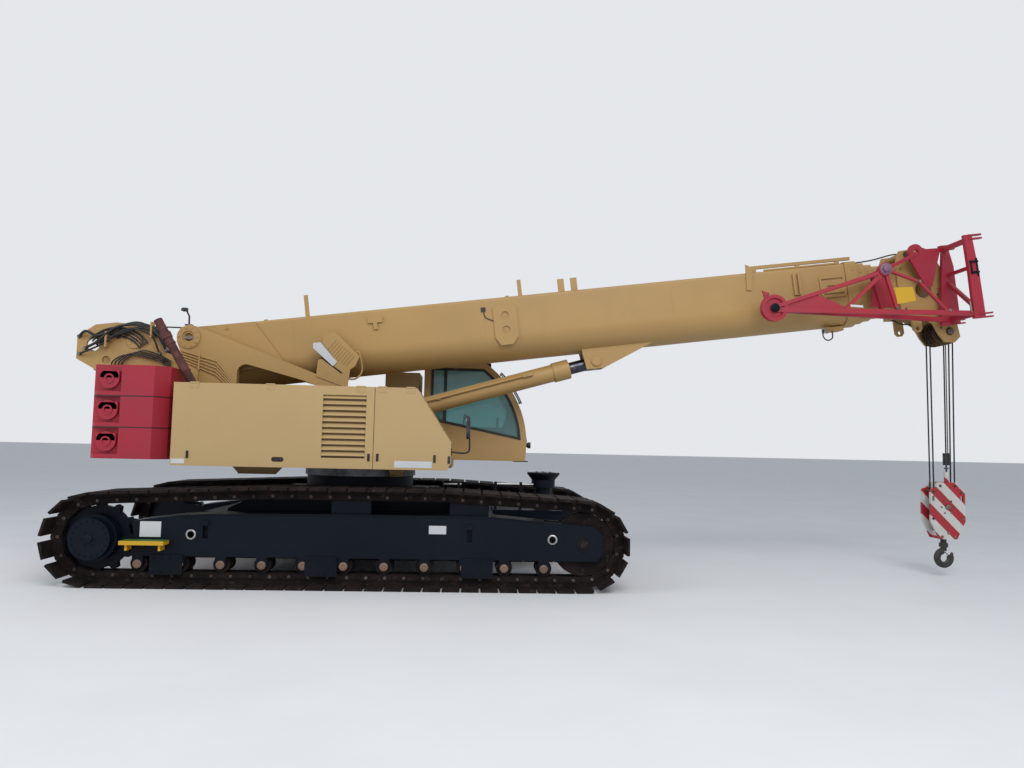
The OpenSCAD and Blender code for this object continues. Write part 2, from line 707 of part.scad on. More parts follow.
// Inside of an arc that follows the curved front, smaller by i
module in_front(i) translate([screen_x, screen_z]) circle(r = screen_r - i, $fn = 180);
module cab_outline(inset = 0) {
    i = inset;
    intersection() {
        in_front(i);
        polygon([
            [cab_rear + i, cab_bottom + i], [cab_front + 50, cab_bottom + i], [cab_front + 50, cab_top - 90 - i],
            [cab_front - 700, cab_top - 40 - i], [cab_rear + 60 + i, cab_top - i], [cab_rear + i, cab_top - 90 - i]]);
    }
}
module side_window(i = 0) intersection() {
    in_front(110 + i);
    polygon([
        [cab_rear + 130 + i, 2310 + i], [cab_front, 2000 + i], [cab_front, 3130 - i], [cab_rear + 130 + i, 3130 - i]]);
}
module screen_cut() block(cab_front - 640, cab_front + 50, cab_in_y + 80, cab_out_y - 80, 2050, 3080);
module cab_shell() color(ochre) from_slew_axis() {
    difference() {
        plate(cab_in_y, cab_out_y - cab_in_y) cab_outline();
        plate(cab_in_y + cab_wall, cab_out_y - cab_in_y - 2 * cab_wall) cab_outline(cab_wall);
        plate(cab_in_y - 10, cab_wall + 20) side_window();
        plate(cab_out_y - cab_wall - 10, cab_wall + 20)
            intersection() {
                in_front(130);
                polygon([
                    [cab_rear + 130, cab_bottom + 120], [cab_front - 330, cab_bottom + 120], [cab_front - 230, 2350],
                    [cab_front - 230, 3130], [cab_rear + 130, 3130]]);
            }
        screen_cut();
    }
    // rail that the door slides on
    block(cab_rear - 620, cab_front - 300, cab_out_y - 1, cab_out_y + free + 35, cab_bottom + 50, cab_bottom + 80 - seat);
    // carrier under the cab
    block(900, 1300, cab_deck_y, cab_out_y - 200, deck_bottom, cab_bottom + 5);
}
module cab_windows() color(glass) from_slew_axis() {
    g = 8;
    plate(cab_in_y + 18, g) side_window(seat);
    intersection() {
        difference() {
            plate(cab_in_y + 80 + seat, cab_out_y - cab_in_y - 160 - 2 * seat) cab_outline(15);
            plate(cab_in_y, cab_out_y - cab_in_y) cab_outline(15 + g);
        }
        block(cab_front - 640 + seat, cab_front + 50, cab_in_y, cab_out_y, 2050 + seat, 3080 - seat);
    }
}
module cab_seat() color(black) from_slew_axis() {
    y = (cab_in_y + cab_out_y) / 2;
    z = cab_bottom + cab_wall + seat;
    block(1250, 1550, y - 150, y + 150, z, z + 300);
    block(1130, 1650, y - 250, y + 250, z + 295, z + 420);
    translate([1130, 0, z + 400]) rotate([0, -12, 0]) block(0, 120, y - 240, y + 240, 0, 720);
    block(1900, 2200, y - 200, y + 200, z, z + 450);
}
module cab_mirror() color(black) from_slew_axis() {
    bar([housing_front + seat, -1300, 1760], [1560, -1300, 1760], 14, 16);
    bar([1560, -1300, 1750], [1560, -1300, 2030], 14, 16);
    block(1540, 1580, -1370, -1210, 1990, 2320);
    // front lamp on the cab
    block(screen_x + screen_r + seat, cab_front + 30, cab_in_y + 40, cab_in_y + 130, 1880, 1960);
    translate([cab_front + 25, cab_in_y + 85, 1920]) rotate([0, 90, 0]) cylinder(h = 55, r = 52, $fn = 48);
}
module cab_door() color(ochre) from_slew_axis() {
    difference() {
        plate(cab_out_y + free, 35) intersection() {
            in_front(70);
            polygon([
                [cab_rear + 80, cab_bottom + 80], [cab_front - 290, cab_bottom + 80], [cab_front - 190, 2360],
                [cab_front - 190, 3170], [cab_rear + 80, 3170]]);
        }
        plate(cab_out_y, 60) intersection() {
            in_front(160);
            polygon([
                [cab_rear + 170, 2250], [cab_front - 380, 2150], [cab_front - 280, 2360], [cab_front - 280, 3090],
                [cab_rear + 170, 3090]]);
        }
    }
}

// Boom, written from the foot pin with X along the boom
module on_boom() from_slew_axis() translate([-foot_back, 0, foot_z]) rotate([0, -boom_angle, 0]) children();

// Cross section of a boom section, smaller by k on every side: straight sides over a half round belly
module section_outline(k) {
    r = base_w / 2 - k;
    top = top_over_pin - k;
    belly = top_over_pin - base_h + base_w / 2;
    union() {
        translate([0, belly]) circle(r = r, $fn = 96);
        translate([-r, belly]) square([2 * r, top - belly - 40]);
        translate([-r + 40, belly]) square([2 * r - 80, top - belly]);
        for (s = [-1, 1]) translate([s * (r - 40), top - 40]) circle(r = 40, $fn = 32);
    }
}
module along(u0, u1) translate([u0, 0, 0]) rotate([90, 0, 90]) linear_extrude(height = u1 - u0) children();
module tube(u0, u1, k_out, k_in) along(u0, u1) difference() {
    section_outline(k_out);
    section_outline(k_in);
}

step_k = boom_wall + section_gap;
foot_w = 2 * (arm_y0 - free);

module boom_base() color(ochre) on_boom() {
    difference() {
        union() {
            tube(500, base_len, 0, boom_wall);
            // collar
            tube(base_len - 180, base_len, -22, step_k - slip);
            // rear end with the foot's cheeks
            for (s = [-1, 1])
                plate(s < 0 ? -base_w / 2 - 30 : base_w / 2 - 20, 50)
                    polygon([
                        [-150, -60], [-90, 110], [60, 170], [900, 165], [1300, -500], [500, -560], [200, -300]]);
            pin(0, 0, 150, -foot_w / 2, foot_w / 2, 64);
            // lower gusset that takes the cylinder's top pin
            for (s = [-1, 1])
                plate(s < 0 ? -190 : 130, 60)
                    polygon([
                        [5750, -700], [5800, -luff_top_w - 110], [6080, -luff_top_w - 110],
                        [7060, -650], [7060, -600], [5750, -600]]);
        }
        // the hollow inside
        along(501, base_len - 181) section_outline(boom_wall);
        along(base_len - 182, base_len + 1) section_outline(step_k - slip);
    }
    pin(luff_top_u, -luff_top_w, 70 - seat, -215, 215, 48);
    difference() {
        pin(0, 0, foot_pin_r, -arm_y0 - arm_t, arm_y0 + arm_t, 64);
        for (s = [-1, 1]) pin(0, 0, foot_pin_r - 30, s * (arm_y0 + arm_t) - 40, s * (arm_y0 + arm_t) + 40, 48);
    }
}

// Lugs, brackets and pipe clips on the base section's near side and top
module boom_fittings() color(ochre) on_boom() {
    side = -base_w / 2;
    top = top_over_pin + seat;
    // plates on the near side: start, end, lowest, highest, thickness
    for (f = [
        [2560, 2780, -30, 60, 30], [2640, 2700, -130, -29, 30], [base_len - 1030, base_len - 1000, -240, 80, 40],
        [base_len - 950, base_len - 920, -240, 80, 40], [base_len - 1031, base_len - 919, -250, -239, 40]])
        block(f[0], f[1], side - f[4], side - seat, f[2], f[3]);
    // bracket plate with two round holes
    plate(side - 22, 22 - seat) difference() {
        polygon([[4440, 20], [4520, 50], [4800, 20], [4800, -440], [4700, -560], [4520, -560], [4440, -440]]);
        for (w = [-110, -330]) translate([4620, w]) circle(r = 58, $fn = 48);
    }
    // bracket plate with slots
    plate(side - 22, 22 - seat) difference() {
        polygon([
            [base_len - 610, -20], [base_len - 200, -20], [base_len - 200, -340], [base_len - 560, -340],
            [base_len - 610, -280]]);
        // slots: start, end, middle
        for (f = [[580, 240, -60], [500, 300, -170], [560, 240, -290]])
            translate([base_len - f[0], f[2] - 16]) square([f[0] - f[1], 32]);
    }
    // angled plate that stands over the top edge
    plate(side - 22, 22 - seat)
        polygon([
            [base_len - 1740, 300], [base_len - 1640, 240], [base_len - 1690, -110], [base_len - 1770, -100]]);
    // tabs and lugs on the top: start, end, height
    for (f = [[1640, 1700, 330], [4860, 4920, 250], [5480, 5580, 200], [5680, 5780, 200]])
        block(f[0], f[1], side + 60, side + 85, top, top_over_pin + f[2]);
    // guide rail and pipe along the top edge
    block(base_len - 1660, base_len - 20, side + 90, side + 130, top + 60, top + 110);
    for (u = [base_len - 1600, base_len - 900, base_len - 260]) block(u, u + 60, side + 90, side + 130, top, top + 61);
    translate([base_len - 1430, side + 60, top + 18]) rotate([0, 90, 0]) cylinder(h = 1200, r = 18, $fn = 32);
    // junction box and work lamp under the front end
    block(base_len - 450, base_len - 200, -140, 90, -845, top_over_pin - base_h - seat);
    translate([base_len - 450, -190, -800]) rotate([0, -110, 0]) cylinder(h = 80, r1 = 34, r2 = 55, $fn = 48);
    block(base_len - 470, base_len - 430, -200, -139, -830, -780);
}

// Luffing cylinder, written from its base pin
luff_top = [-foot_back + luff_top_u * cos(boom_angle) + luff_top_w * sin(boom_angle),
    foot_z + luff_top_u * sin(boom_angle) - luff_top_w * cos(boom_angle)];
luff_d = [luff_top[0] + luff_base_back, luff_top[1] - luff_base_z];
luff_len = norm(luff_d);
luff_angle = atan2(luff_d[1], luff_d[0]);
module on_luff() from_slew_axis()
    translate([-luff_base_back, 0, luff_base_z]) rotate([0, -luff_angle, 0]) children();
rod_neck = 420;
eye_r = 109;
rod_in = 3300;
module luff_barrel() color(ochre) on_luff() {
    difference() {
        union() {
            translate([130, 0, 0]) rotate([0, 90, 0]) cylinder(h = luff_len - rod_neck - 130, r = barrel_r, $fn = 64);
            translate([luff_len - rod_neck - 250, 0, 0]) rotate([0, 90, 0]) cylinder(h = 250, r = barrel_r + 18, $fn = 64);
            pin(0, 0, 150, -110, 110, 64);
            pin(0, 0, 75, -arm_y0 - arm_t, arm_y0 + arm_t, 48);
            // pipe along the barrel and the blocks that hold it
            translate([420, -barrel_r - 24, 60]) rotate([0, 90, 0]) cylinder(h = 2500, r = 16, $fn = 32);
            for (x = [440, 1500, 2860]) block(x, x + 60, -barrel_r - 44, -60, 36, 84);
        }
        translate([luff_len - rod_neck - rod_in - 40, 0, 0]) rotate([0, 90, 0]) cylinder(h = rod_in + 41, r = rod_r + seat, $fn = 64);
    }
}
module luff_rod() color(steel) on_luff() difference() {
    union() {
        translate([luff_len - rod_neck - rod_in, 0, 0]) rotate([0, 90, 0]) cylinder(h = rod_neck + rod_in - 80, r = rod_r, $fn = 64);
        pin(luff_len, 0, eye_r, -120, 120, 64);
    }
    pin(luff_len, 0, 70 + slip, -130, 130, 48);
}

// Telescopic sections, each inside the one before
module boom_section(i) {
    k = i * step_k;
    front = base_len + i * collar_step;
    color(ochre) on_boom() {
        tube(700 + 60 * i, front - 10, k, k + boom_wall);
        tube(front - collar_step + 8, front, k - 14, i == 5 ? k + boom_wall : k + step_k - slip);
    }
}
module boom_section_1() boom_section(1);
module boom_section_2() boom_section(2);
module boom_section_3() boom_section(3);
module boom_section_4() boom_section(4);
module boom_section_5() boom_section(5);

// A rope sheave on its axle: hub, thinner web and a grooved rim
module sheave(x, y, z, r, hub_r, w) translate([x, y, z]) rotate([90, 0, 0]) rotate_extrude($fn = 64)
    polygon([
        [0, -w / 2], [hub_r, -w / 2], [hub_r, -w / 5], [r - 2.7 * groove, -w / 5], [r - 2.2 * groove, -w / 2],
        [r, -w / 2], [r - groove, -rope_r - 1], [r - groove, rope_r + 1], [r, w / 2],
        [r - 2.2 * groove, w / 2], [r - 2.7 * groove, w / 5], [hub_r, w / 5], [hub_r, w / 2], [0, w / 2]]);

// Boom head, measured from the last section's end: two cheeks that carry the sheaves' axle
cheek_y = 240;
cheek_t = 40;
jib_seat_w = [-300, -760];
module boom_head() color(ochre) on_boom() translate([head_u, 0, 0]) {
    difference() {
        for (y = [-cheek_y - cheek_t, cheek_y])
            plate(y, cheek_t) {
                polygon([
                    [20, 120], [100, 300], [400, 320], [630, 200], [790, -150], [840, -600], [890, -1150], [790, -1230],
                    [630, -1210], [550, -1080], [480, -900], [300, -760], [20, -740]]);
                // ear for the jib's stay
                polygon([[150, -740], [300, -760], [300, -960], [260, -1010], [190, -1010], [150, -960]]);
            }
        pin(sheave_ahead, -sheave_w, 60 + seat, -400, 400);
        pin(400, -350, 130, -400, 400, 64);
        pin(225, -950, 30, -400, 400, 32);
    }
    block(seat, 40, -cheek_y - cheek_t, cheek_y + cheek_t, -740, 110);
    block(600, 640, -cheek_y - 1, cheek_y + 1, -560, -100);
    // rope rollers at the top: along the boom, height, radius
    for (b = [[200, 240, 55], [560, 150, 55], [835, -840, 24]]) pin(b[0], b[1], b[2], -cheek_y - 1, cheek_y + 1, 48);
    // seats of the folded jib
    for (w = jib_seat_w) block(640, 750, -jib_in + jib_t / 2 + seat, -cheek_y - cheek_t + 1, w - 50, w + 50);
}
module head_sheaves() color([0.35, 0.25, 0.18]) on_boom() {
    for (y = [-150, -50, 50, 150]) sheave(sheave_u, y, -sheave_w, sheave_r, 95, 52);
    pin(sheave_u, -sheave_w, 60, -cheek_y - 60, cheek_y + 60);
}

// Jib, folded back along the boom's near side: two trusses that meet at the tip sheave, and a base
// frame with four forks. Measured from the last section's end.
jib_out = 1050;
jib_in = 400;
jib_t = 60;
jib_base = 710;
jib_len = 2930;
jib_lean = atan((jib_out - jib_in) / 2 / jib_len);
fork_bore_r = 22;
// Places a truss, with X from the base frame and negative towards the tip
module jib_side(s) translate([jib_base, s < 0 ? -jib_out : -jib_in, 0]) rotate([0, 0, s * jib_lean]) children();
module bars(list) for (b = list) strip([b[0], b[1]], [b[2], b[3]], b[4]);

module jib_adapter() color(crimson) on_boom() translate([head_u, 0, 0]) {
    // near truss, bar by bar: start, its height, end, its height, width
    jib_side(-1) {
        plate(-jib_t / 2, jib_t)
            bars([
                [-2900, -495, 0, -890, 70], [-2860, -430, -1260, -100, 55], [-1890, -590, -1260, -100, 50],
                [-1260, -100, -1160, -700, 50], [-1190, -110, -790, -320, 35], [-790, -320, -460, -790, 35]]);
        plate(-6, 12) polygon([[-2340, -300], [-1860, -600], [-2880, -490]]);
        pin(-1260, -80, 100, -50, 50, 64);
    }
    // inner truss
    jib_side(1) {
        plate(-jib_t / 2, jib_t)
            bars([
                [-2900, -495, 0, -890, 70], [-2860, -430, -1260, -100, 55], [-1260, -100, -470, 190, 55],
                [-1260, -100, -1160, -700, 50]]);
        plate(-7, 14) polygon([[-1260, -165], [-1015, -115], [-905, -625], [-1350, -575]]);
        // gusset with its lifting eye
        plate(-20, 40) difference() {
            union() {
                polygon([[-590, 140], [-450, 330], [-280, 260], [-20, 260], [-260, -330], [-370, -340]]);
                translate([-460, 220]) circle(r = 130, $fn = 64);
            }
            translate([-460, 220]) circle(r = 45, $fn = 48);
        }
    }
    // posts of the base frame
    plate(-jib_out - jib_t / 2, jib_t)
        polygon([[640, 292], [760, 292], [790, -300], [790, -fork_w], [620, -fork_w], [640, -300]]);
    plate(-jib_in - jib_t / 2, jib_t)
        polygon([[670, 292], [800, 292], [850, -50], [830, -fork_w], [530, -fork_w], [550, -700], [705, 200]]);
    // bars across it: start, end, lowest, highest
    for (b = [[675, 745, 185, 255], [660, 740, -920, -840], [725, 775, -205, -155]])
        block(b[0], b[1], -jib_out + jib_t / 2 - 1, -jib_in - jib_t / 2 + 1, b[2], b[3]);
    along(700, 750) strip([20 - jib_out, -840], [-20 - jib_in, -300], 50);
    // cross tube between the trusses
    pin(-550, -80, 35, -910, -540, 48);
    // forks: two prongs each with a bore
    for (y = [-jib_out, -jib_in])
        for (w = [255, 37 - fork_w])
            for (e = [-37, 17])
                translate([0, y, w + e]) linear_extrude(height = 20) difference() {
                    union() {
                        translate([fork_reach - 40, 0]) circle(r = 40, $fn = 48);
                        translate([700, -40]) square([fork_reach - 740, 80]);
                    }
                    translate([fork_reach - 40, 0]) circle(r = fork_bore_r, $fn = 48);
                }
    // tip sheave and the lug over it
    sheave(jib_base - jib_len, -(jib_out + jib_in) / 2, -463, sheave_r, 70, 90);
    plate(-(jib_out + jib_in) / 2 - 10, 20) polygon([[-2370, -180], [-2260, -230], [-2290, -330], [-2200, -420], [-2330, -400]]);
}

// Hoist falls, hook block and hook, which hang plumb from the lower head sheaves
module at_head() from_slew_axis() translate([sheave_x, 0, sheave_z]) children();
block_bottom = 600;
block_mid = block_bottom + block_h / 2;
block_drop = sheave_z - block_mid;
fall_y = 50;
block_y = 140;
block_sheave_r = 180;
hitch_x = 60 + rope_r + 0.6;
fall_off = rope_r + slip - groove;
module hoist_falls() color(steel) at_head() {
    for (sx = [-1, 1])
        for (y = [-fall_y, fall_y])
            bar([sx * (sheave_r + fall_off), y, 0], [sx * (block_sheave_r + fall_off), y, -block_drop + 60], rope_r, 16);
    bar([hitch_x, 0, 0], [hitch_x, 0, -block_drop + block_h / 2 + 160 + seat], rope_r, 16);
}
module limit_weight() color(black) at_head() {
    difference() {
        translate([hitch_x, 0, -block_drop + block_h / 2 + 270]) cylinder(h = 190, r = 48, $fn = 32);
        translate([hitch_x, 0, -block_drop + block_h / 2 + 260]) cylinder(h = 210, r = rope_r + 0.4, $fn = 16);
    }
    bar([hitch_x + 32, 0, -40], [hitch_x + 32, 0, -block_drop + block_h / 2 + 440], 8, 12);
}
module hook_block() color([0.75, 0.12, 0.15]) at_head() translate([0, 0, -block_drop]) {
    for (y = [-block_y, block_y - 40])
        difference() {
            plate(y, 40)
                polygon([
                    [-150, block_h / 2], [150, block_h / 2], [190, 350], [block_half - 20, 330], [block_half, 270],
                    [block_half, -160], [140, -block_h / 2], [-140, -block_h / 2], [-block_half, -160],
                    [-block_half, 270], [20 - block_half, 330], [-190, 350]]);
            pin(0, 60, 45 + seat, y - 10, y + 50);
            // notches under the top corners
            for (x = [-250, 210]) block(x, x + 40, y - 10, y + 50, 150, 230);
        }
    block(-130, 130, -block_y + 39, block_y - 39, -block_h / 2, -block_h / 2 + 110);
    block(-90, 150, -block_y + 39, block_y - 39, block_h / 2 - 90, block_h / 2 - 60);
    // wedge socket of the rope's end
    translate([hitch_x, 0, block_h / 2 - 75]) cylinder(h = 235, r1 = 30, r2 = 40, $fn = 24);
}
module block_sheaves() color([0.35, 0.25, 0.18]) at_head() translate([0, 0, -block_drop]) {
    for (y = [-fall_y, fall_y]) sheave(0, y, 60, block_sheave_r, 75, 44);
    pin(0, 60, 45, -block_y - 10, block_y + 10);
}
module hook() color(black) at_head() translate([0, 0, hook_bottom - sheave_z]) {
    ring_r = 110;
    bar_r = 46;
    mid = ring_r + bar_r;
    // bowl, thick inside and thinner outside
    translate([0, 0, mid]) rotate([90, 0, 0]) rotate([0, 0, 95]) rotate_extrude(angle = 285, $fn = 96)
        translate([ring_r, 0])
            polygon([[-46, -26], [-34, -34], [10, -38], [38, -28], [46, -12], [46, 12], [38, 28], [10, 38], [-34, 34], [-46, 26]]);
    // point
    translate([ring_r, 0, mid]) rotate([0, 20, 0]) cylinder(h = 90, r1 = 36, r2 = 16, $fn = 32);
    // shank and its collar
    translate([0, 0, mid + ring_r]) cylinder(h = block_bottom - hook_bottom - 2 * ring_r - bar_r - seat, r = 45, $fn = 32);
    translate([0, 0, mid + ring_r + 60]) cylinder(h = 60, r = 66, $fn = 48);
    // safety latch
    translate([12, -10, mid + ring_r - 20]) rotate([0, 38, 0]) cube([150, 20, 8]);
}

undercarriage();
slew_ring();
support_jack();
track_frame_right();
track_right();
wheels_right();
final_drive_right();
step_right();
track_frame_left();
track_left();
wheels_left();
final_drive_left();
step_left();
turntable();
counterweights();
engine_block();
engine_housing();
left_housing();
exhaust();
winch_frame();
winch_drum();
tail_hoses();
boom_pipes();
engine_door_rear();
engine_door_front();
cab_shell();
cab_windows();
cab_seat();
cab_mirror();
cab_door();
boom_base();
boom_fittings();
luff_barrel();
luff_rod();
boom_section_1();
boom_section_2();
boom_section_3();
boom_section_4();
boom_section_5();
boom_head();
head_sheaves();
jib_adapter();
hoist_falls();
limit_weight();
hook_block();
block_sheaves();
hook();
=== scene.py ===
import sys
import json
import logging
import math
from collections.abc import Callable
from dataclasses import dataclass
from enum import Enum

import bmesh
import bpy
import numpy as np
from mathutils import Matrix, Vector


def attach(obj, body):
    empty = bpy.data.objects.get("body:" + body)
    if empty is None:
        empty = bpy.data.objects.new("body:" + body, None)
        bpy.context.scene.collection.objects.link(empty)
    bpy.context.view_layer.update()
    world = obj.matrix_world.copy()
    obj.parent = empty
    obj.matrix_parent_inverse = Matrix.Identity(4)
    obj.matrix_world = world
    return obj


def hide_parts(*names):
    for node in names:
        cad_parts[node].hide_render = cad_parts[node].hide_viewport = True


logging.basicConfig(level=logging.INFO, format="%(message)s", stream=sys.stdout)
log = logging.getLogger("crane")

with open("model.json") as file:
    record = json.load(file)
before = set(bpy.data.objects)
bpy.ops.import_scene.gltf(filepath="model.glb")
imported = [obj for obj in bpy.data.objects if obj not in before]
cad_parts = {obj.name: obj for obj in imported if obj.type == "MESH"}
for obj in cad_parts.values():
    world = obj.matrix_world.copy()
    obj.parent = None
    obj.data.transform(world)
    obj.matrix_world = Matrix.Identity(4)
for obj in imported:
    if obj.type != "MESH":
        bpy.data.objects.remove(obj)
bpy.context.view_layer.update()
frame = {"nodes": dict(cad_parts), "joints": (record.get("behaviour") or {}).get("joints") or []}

Point = tuple[float, float, float]
Path = list[Point] | np.ndarray
Outline = list[tuple[float, float]] | np.ndarray
Colour = tuple[float, float, float]
Place = Callable[[np.ndarray], np.ndarray]


class Coat(Enum):
    """The finishes that the crane's surfaces wear."""

    OCHRE = "yellow_paint"
    CRIMSON = "red_paint"
    DARK = "dark_paint"
    STEP = "step_paint"
    TRACK = "track_iron"
    STEEL = "bare_steel"
    ROD = "rod_steel"
    ROPE = "rope_steel"
    SHEAVE = "sheave_iron"
    PIPE = "tail_pipe"
    HOSE = "hose_rubber"
    GLASS = "window_glass"
    CLOTH = "seat_cloth"
    PLASTIC = "black_plastic"
    HOOK = "hook_paint"
    BLOCK = "block_paint"


def srgb(red: int, green: int, blue: int) -> Colour:
    """Turns a screen colour into the linear one that a shader takes.

    Args:
        red, green, blue: the screen colour's parts, 0 to 255.

    Returns:
        The linear colour, each part by the sRGB curve ((c + 0.055) / 1.055) ** 2.4.
    """
    c = np.array([red, green, blue]) / 255.0
    low = c / 12.92
    high = ((c + 0.055) / 1.055) ** 2.4
    return tuple(float(v) for v in np.where(c <= 0.04045, low, high))


class Graph:
    """A material's node tree while it is being built, with short calls for its nodes."""

    def __init__(self, name: str) -> None:
        """Starts an empty tree.

        Args:
            name: the material's name.
        """
        self.material = bpy.data.materials.new(name)
        self.material.use_nodes = True
        self.tree = self.material.node_tree
        self.tree.nodes.clear()
        self.coords = self.node("ShaderNodeTexCoord", "Object", {})

    def node(self, kind: str, output: str | int, inputs: dict[str | int, object],
             **settings: object) -> bpy.types.NodeSocket:
        """Adds a node, sets its properties and fills its inputs.

        Args:
            kind: the node's Blender type.
            output: name or number of the output that is wanted.
            inputs: what goes into its inputs, by their names or numbers.
            settings: properties to set on it.

        Returns:
            That output.
        """
        made = self.tree.nodes.new(kind)
        for key, value in settings.items():
            setattr(made, key, value)
        for key, value in inputs.items():
            self.feed(made.inputs[key], value)
        return made.outputs[output]

    def feed(self, socket: bpy.types.NodeSocket, value: object) -> None:
        """Links an output to a socket, or sets the socket's own value.

        Args:
            socket: the input to fill.
            value: an output socket, a number, a colour or a vector.
        """
        if isinstance(value, bpy.types.NodeSocket):
            self.tree.links.new(value, socket)
        elif isinstance(value, (tuple, list)) and socket.type == "RGBA":
            socket.default_value = (*value[:3], 1.0)
        else:
            socket.default_value = value

    def maths(self, operation: str, a: object, b: object = 0.0, clamp: bool = False) -> bpy.types.NodeSocket:
        """A Math node.

        Args:
            operation: its operation's name.
            a, b: its inputs.
            clamp: True to keep the result from 0 to 1.

        Returns:
            Its output.
        """
        return self.node("ShaderNodeMath", 0, {0: a, 1: b}, operation=operation, use_clamp=clamp)

    def stretch(self, scale: Point) -> bpy.types.NodeSocket:
        """Object coordinates stretched on each axis, for streaks and grain.

        Args:
            scale: the factor on each axis.

        Returns:
            The stretched coordinates.
        """
        return self.node("ShaderNodeVectorMath", 0, {0: self.coords, 1: scale}, operation="MULTIPLY")

    def noise(self, scale: float, detail: float = 3.0, roughness: float = 0.55,
              at: object = None) -> bpy.types.NodeSocket:
        """A noise texture's value.

        Args:
            scale: its scale, in cells a metre.
            detail: how many finer layers it has.
            roughness: how strong those are.
            at: the coordinates, or None for the object's.

        Returns:
            Its value.
        """
        return self.node("ShaderNodeTexNoise", "Fac", {"Vector": self.coords if at is None else at, "Scale": scale,
                                                       "Detail": detail, "Roughness": roughness})

    def window(self, value: object, low: float, high: float) -> bpy.types.NodeSocket:
        """Turns a value into 0 below low, 1 above high, smooth between.

        Args:
            value: the value to map.
            low, high: the ends of its ramp; low may be the higher.

        Returns:
            The mapped value.
        """
        return self.node("ShaderNodeMapRange", "Result", {"Value": value, "From Min": low, "From Max": high},
                         interpolation_type="SMOOTHSTEP")

    def mix(self, share: object, a: object, b: object) -> bpy.types.NodeSocket:
        """Mixes two colours.

        Args:
            share: how much of b there is.
            a, b: the colours.

        Returns:
            The mixed colour.
        """
        return self.node("ShaderNodeMix", 2, {"Factor": share, 6: a, 7: b}, data_type="RGBA")

    def axis(self, name: str) -> bpy.types.NodeSocket:
        """One of the object coordinates.

        Args:
            name: X, Y or Z.

        Returns:
            That coordinate.
        """
        return self.node("ShaderNodeSeparateXYZ", name, {0: self.coords})

    def bump(self, height: object, strength: float, distance: float) -> bpy.types.NodeSocket:
        """A bump from a height.

        Args:
            height: the height's value.
            strength: how strongly it shows.
            distance: how far 1 stands up, in metres.

        Returns:
            The bent normal.
        """
        return self.node("ShaderNodeBump", "Normal", {"Strength": strength, "Distance": distance, "Height": height})

    def finish(self, **sockets: object) -> bpy.types.Material:
        """Closes the tree with a Principled shader.

        Args:
            sockets: its inputs, with _ for a space in their names.

        Returns:
            The finished material.
        """
        inputs = {key.replace("_", " "): value for key, value in sockets.items()}
        shader = self.node("ShaderNodeBsdfPrincipled", 0, inputs)
        self.feed(self.tree.nodes.new("ShaderNodeOutputMaterial").inputs["Surface"], shader)
        return self.material


@dataclass(frozen=True)
class Paint:
    """Painted steel: faded patches, rain streaks, dust, mud near the ground, worn edges and chips.

    Attributes:
        name: the material's name.
        colour, faded: the fresh and the weathered paint.
        dirt: the colour of its grime.
        under: what shows where the paint has worn off.
        rough: roughness of the clean paint.
        grime: how much grime there is, 0 to 1.
        mud_top: height that mud reaches, in metres.
        chips: how much bare metal shows, 0 to 1.
        gloss: how strongly the paint mirrors, 0.5 for common paint.
    """

    name: str
    colour: Colour
    faded: Colour
    dirt: Colour = srgb(92, 80, 66)
    under: Colour = srgb(70, 62, 58)
    rough: float = 0.42
    grime: float = 0.5
    mud_top: float = 0.0
    chips: float = 0.3
    gloss: float = 0.5

    def base(self, g: Graph) -> bpy.types.NodeSocket:
        """The paint's own colour before grime.

        Args:
            g: the material being built.

        Returns:
            The colour.
        """
        return g.mix(g.window(g.noise(0.55, 5.0, 0.6), 0.3, 0.75), self.colour, self.faded)

    def build(self) -> bpy.types.Material:
        """Builds the material.

        Returns:
            The material.
        """
        g = Graph(self.name)
        base = self.base(g)
        streaks = g.window(g.noise(2.6, 5.0, 0.6, g.stretch((3.4, 3.4, 0.3))), 0.5, 0.85)
        cloud = g.window(g.noise(1.3, 6.0, 0.6), 0.42, 0.85)
        film = g.maths("MULTIPLY", g.maths("ADD", g.maths("MULTIPLY", streaks, 0.6), cloud), 0.42 * self.grime, True)
        speck = g.maths("MULTIPLY", g.window(g.noise(46.0, 3.0, 0.7), 0.67, 0.75), 0.55 * self.grime, True)
        mud = g.maths("MULTIPLY", g.window(g.axis("Z"), self.mud_top, self.mud_top - 0.5),
                      g.window(g.noise(4.0, 6.0, 0.7), 0.3, 0.65), True)
        soil = g.maths("MAXIMUM", g.maths("MAXIMUM", film, speck), g.maths("MULTIPLY", mud, 0.8))
        dirty = g.mix(soil, base, self.dirt)
        edge = 0.79 - 0.09 * self.chips
        chip = g.window(g.noise(15.0, 7.0, 0.75), edge, edge + 0.015)
        rim = g.window(g.noise(15.0, 7.0, 0.75), edge - 0.03, edge)
        flaked = g.mix(g.maths("MULTIPLY", rim, 0.35, True), dirty, self.faded)
        worn = g.mix(g.maths("MULTIPLY", chip, min(1.0, self.chips * 2), True), flaked, self.under)
        fine = g.noise(160.0, 2.0)
        rough = g.maths("ADD", g.maths("MULTIPLY", soil, 0.35),
                        g.maths("ADD", self.rough, g.maths("MULTIPLY", fine, 0.12)), True)
        height = g.maths("SUBTRACT", g.maths("ADD", g.maths("MULTIPLY", fine, 0.25), g.noise(5.0, 2.0)),
                         g.maths("MULTIPLY", chip, 0.5))
        return g.finish(Base_Color=worn, Roughness=rough, Specular_IOR_Level=self.gloss,
                        Normal=g.bump(height, 0.18, 0.003))


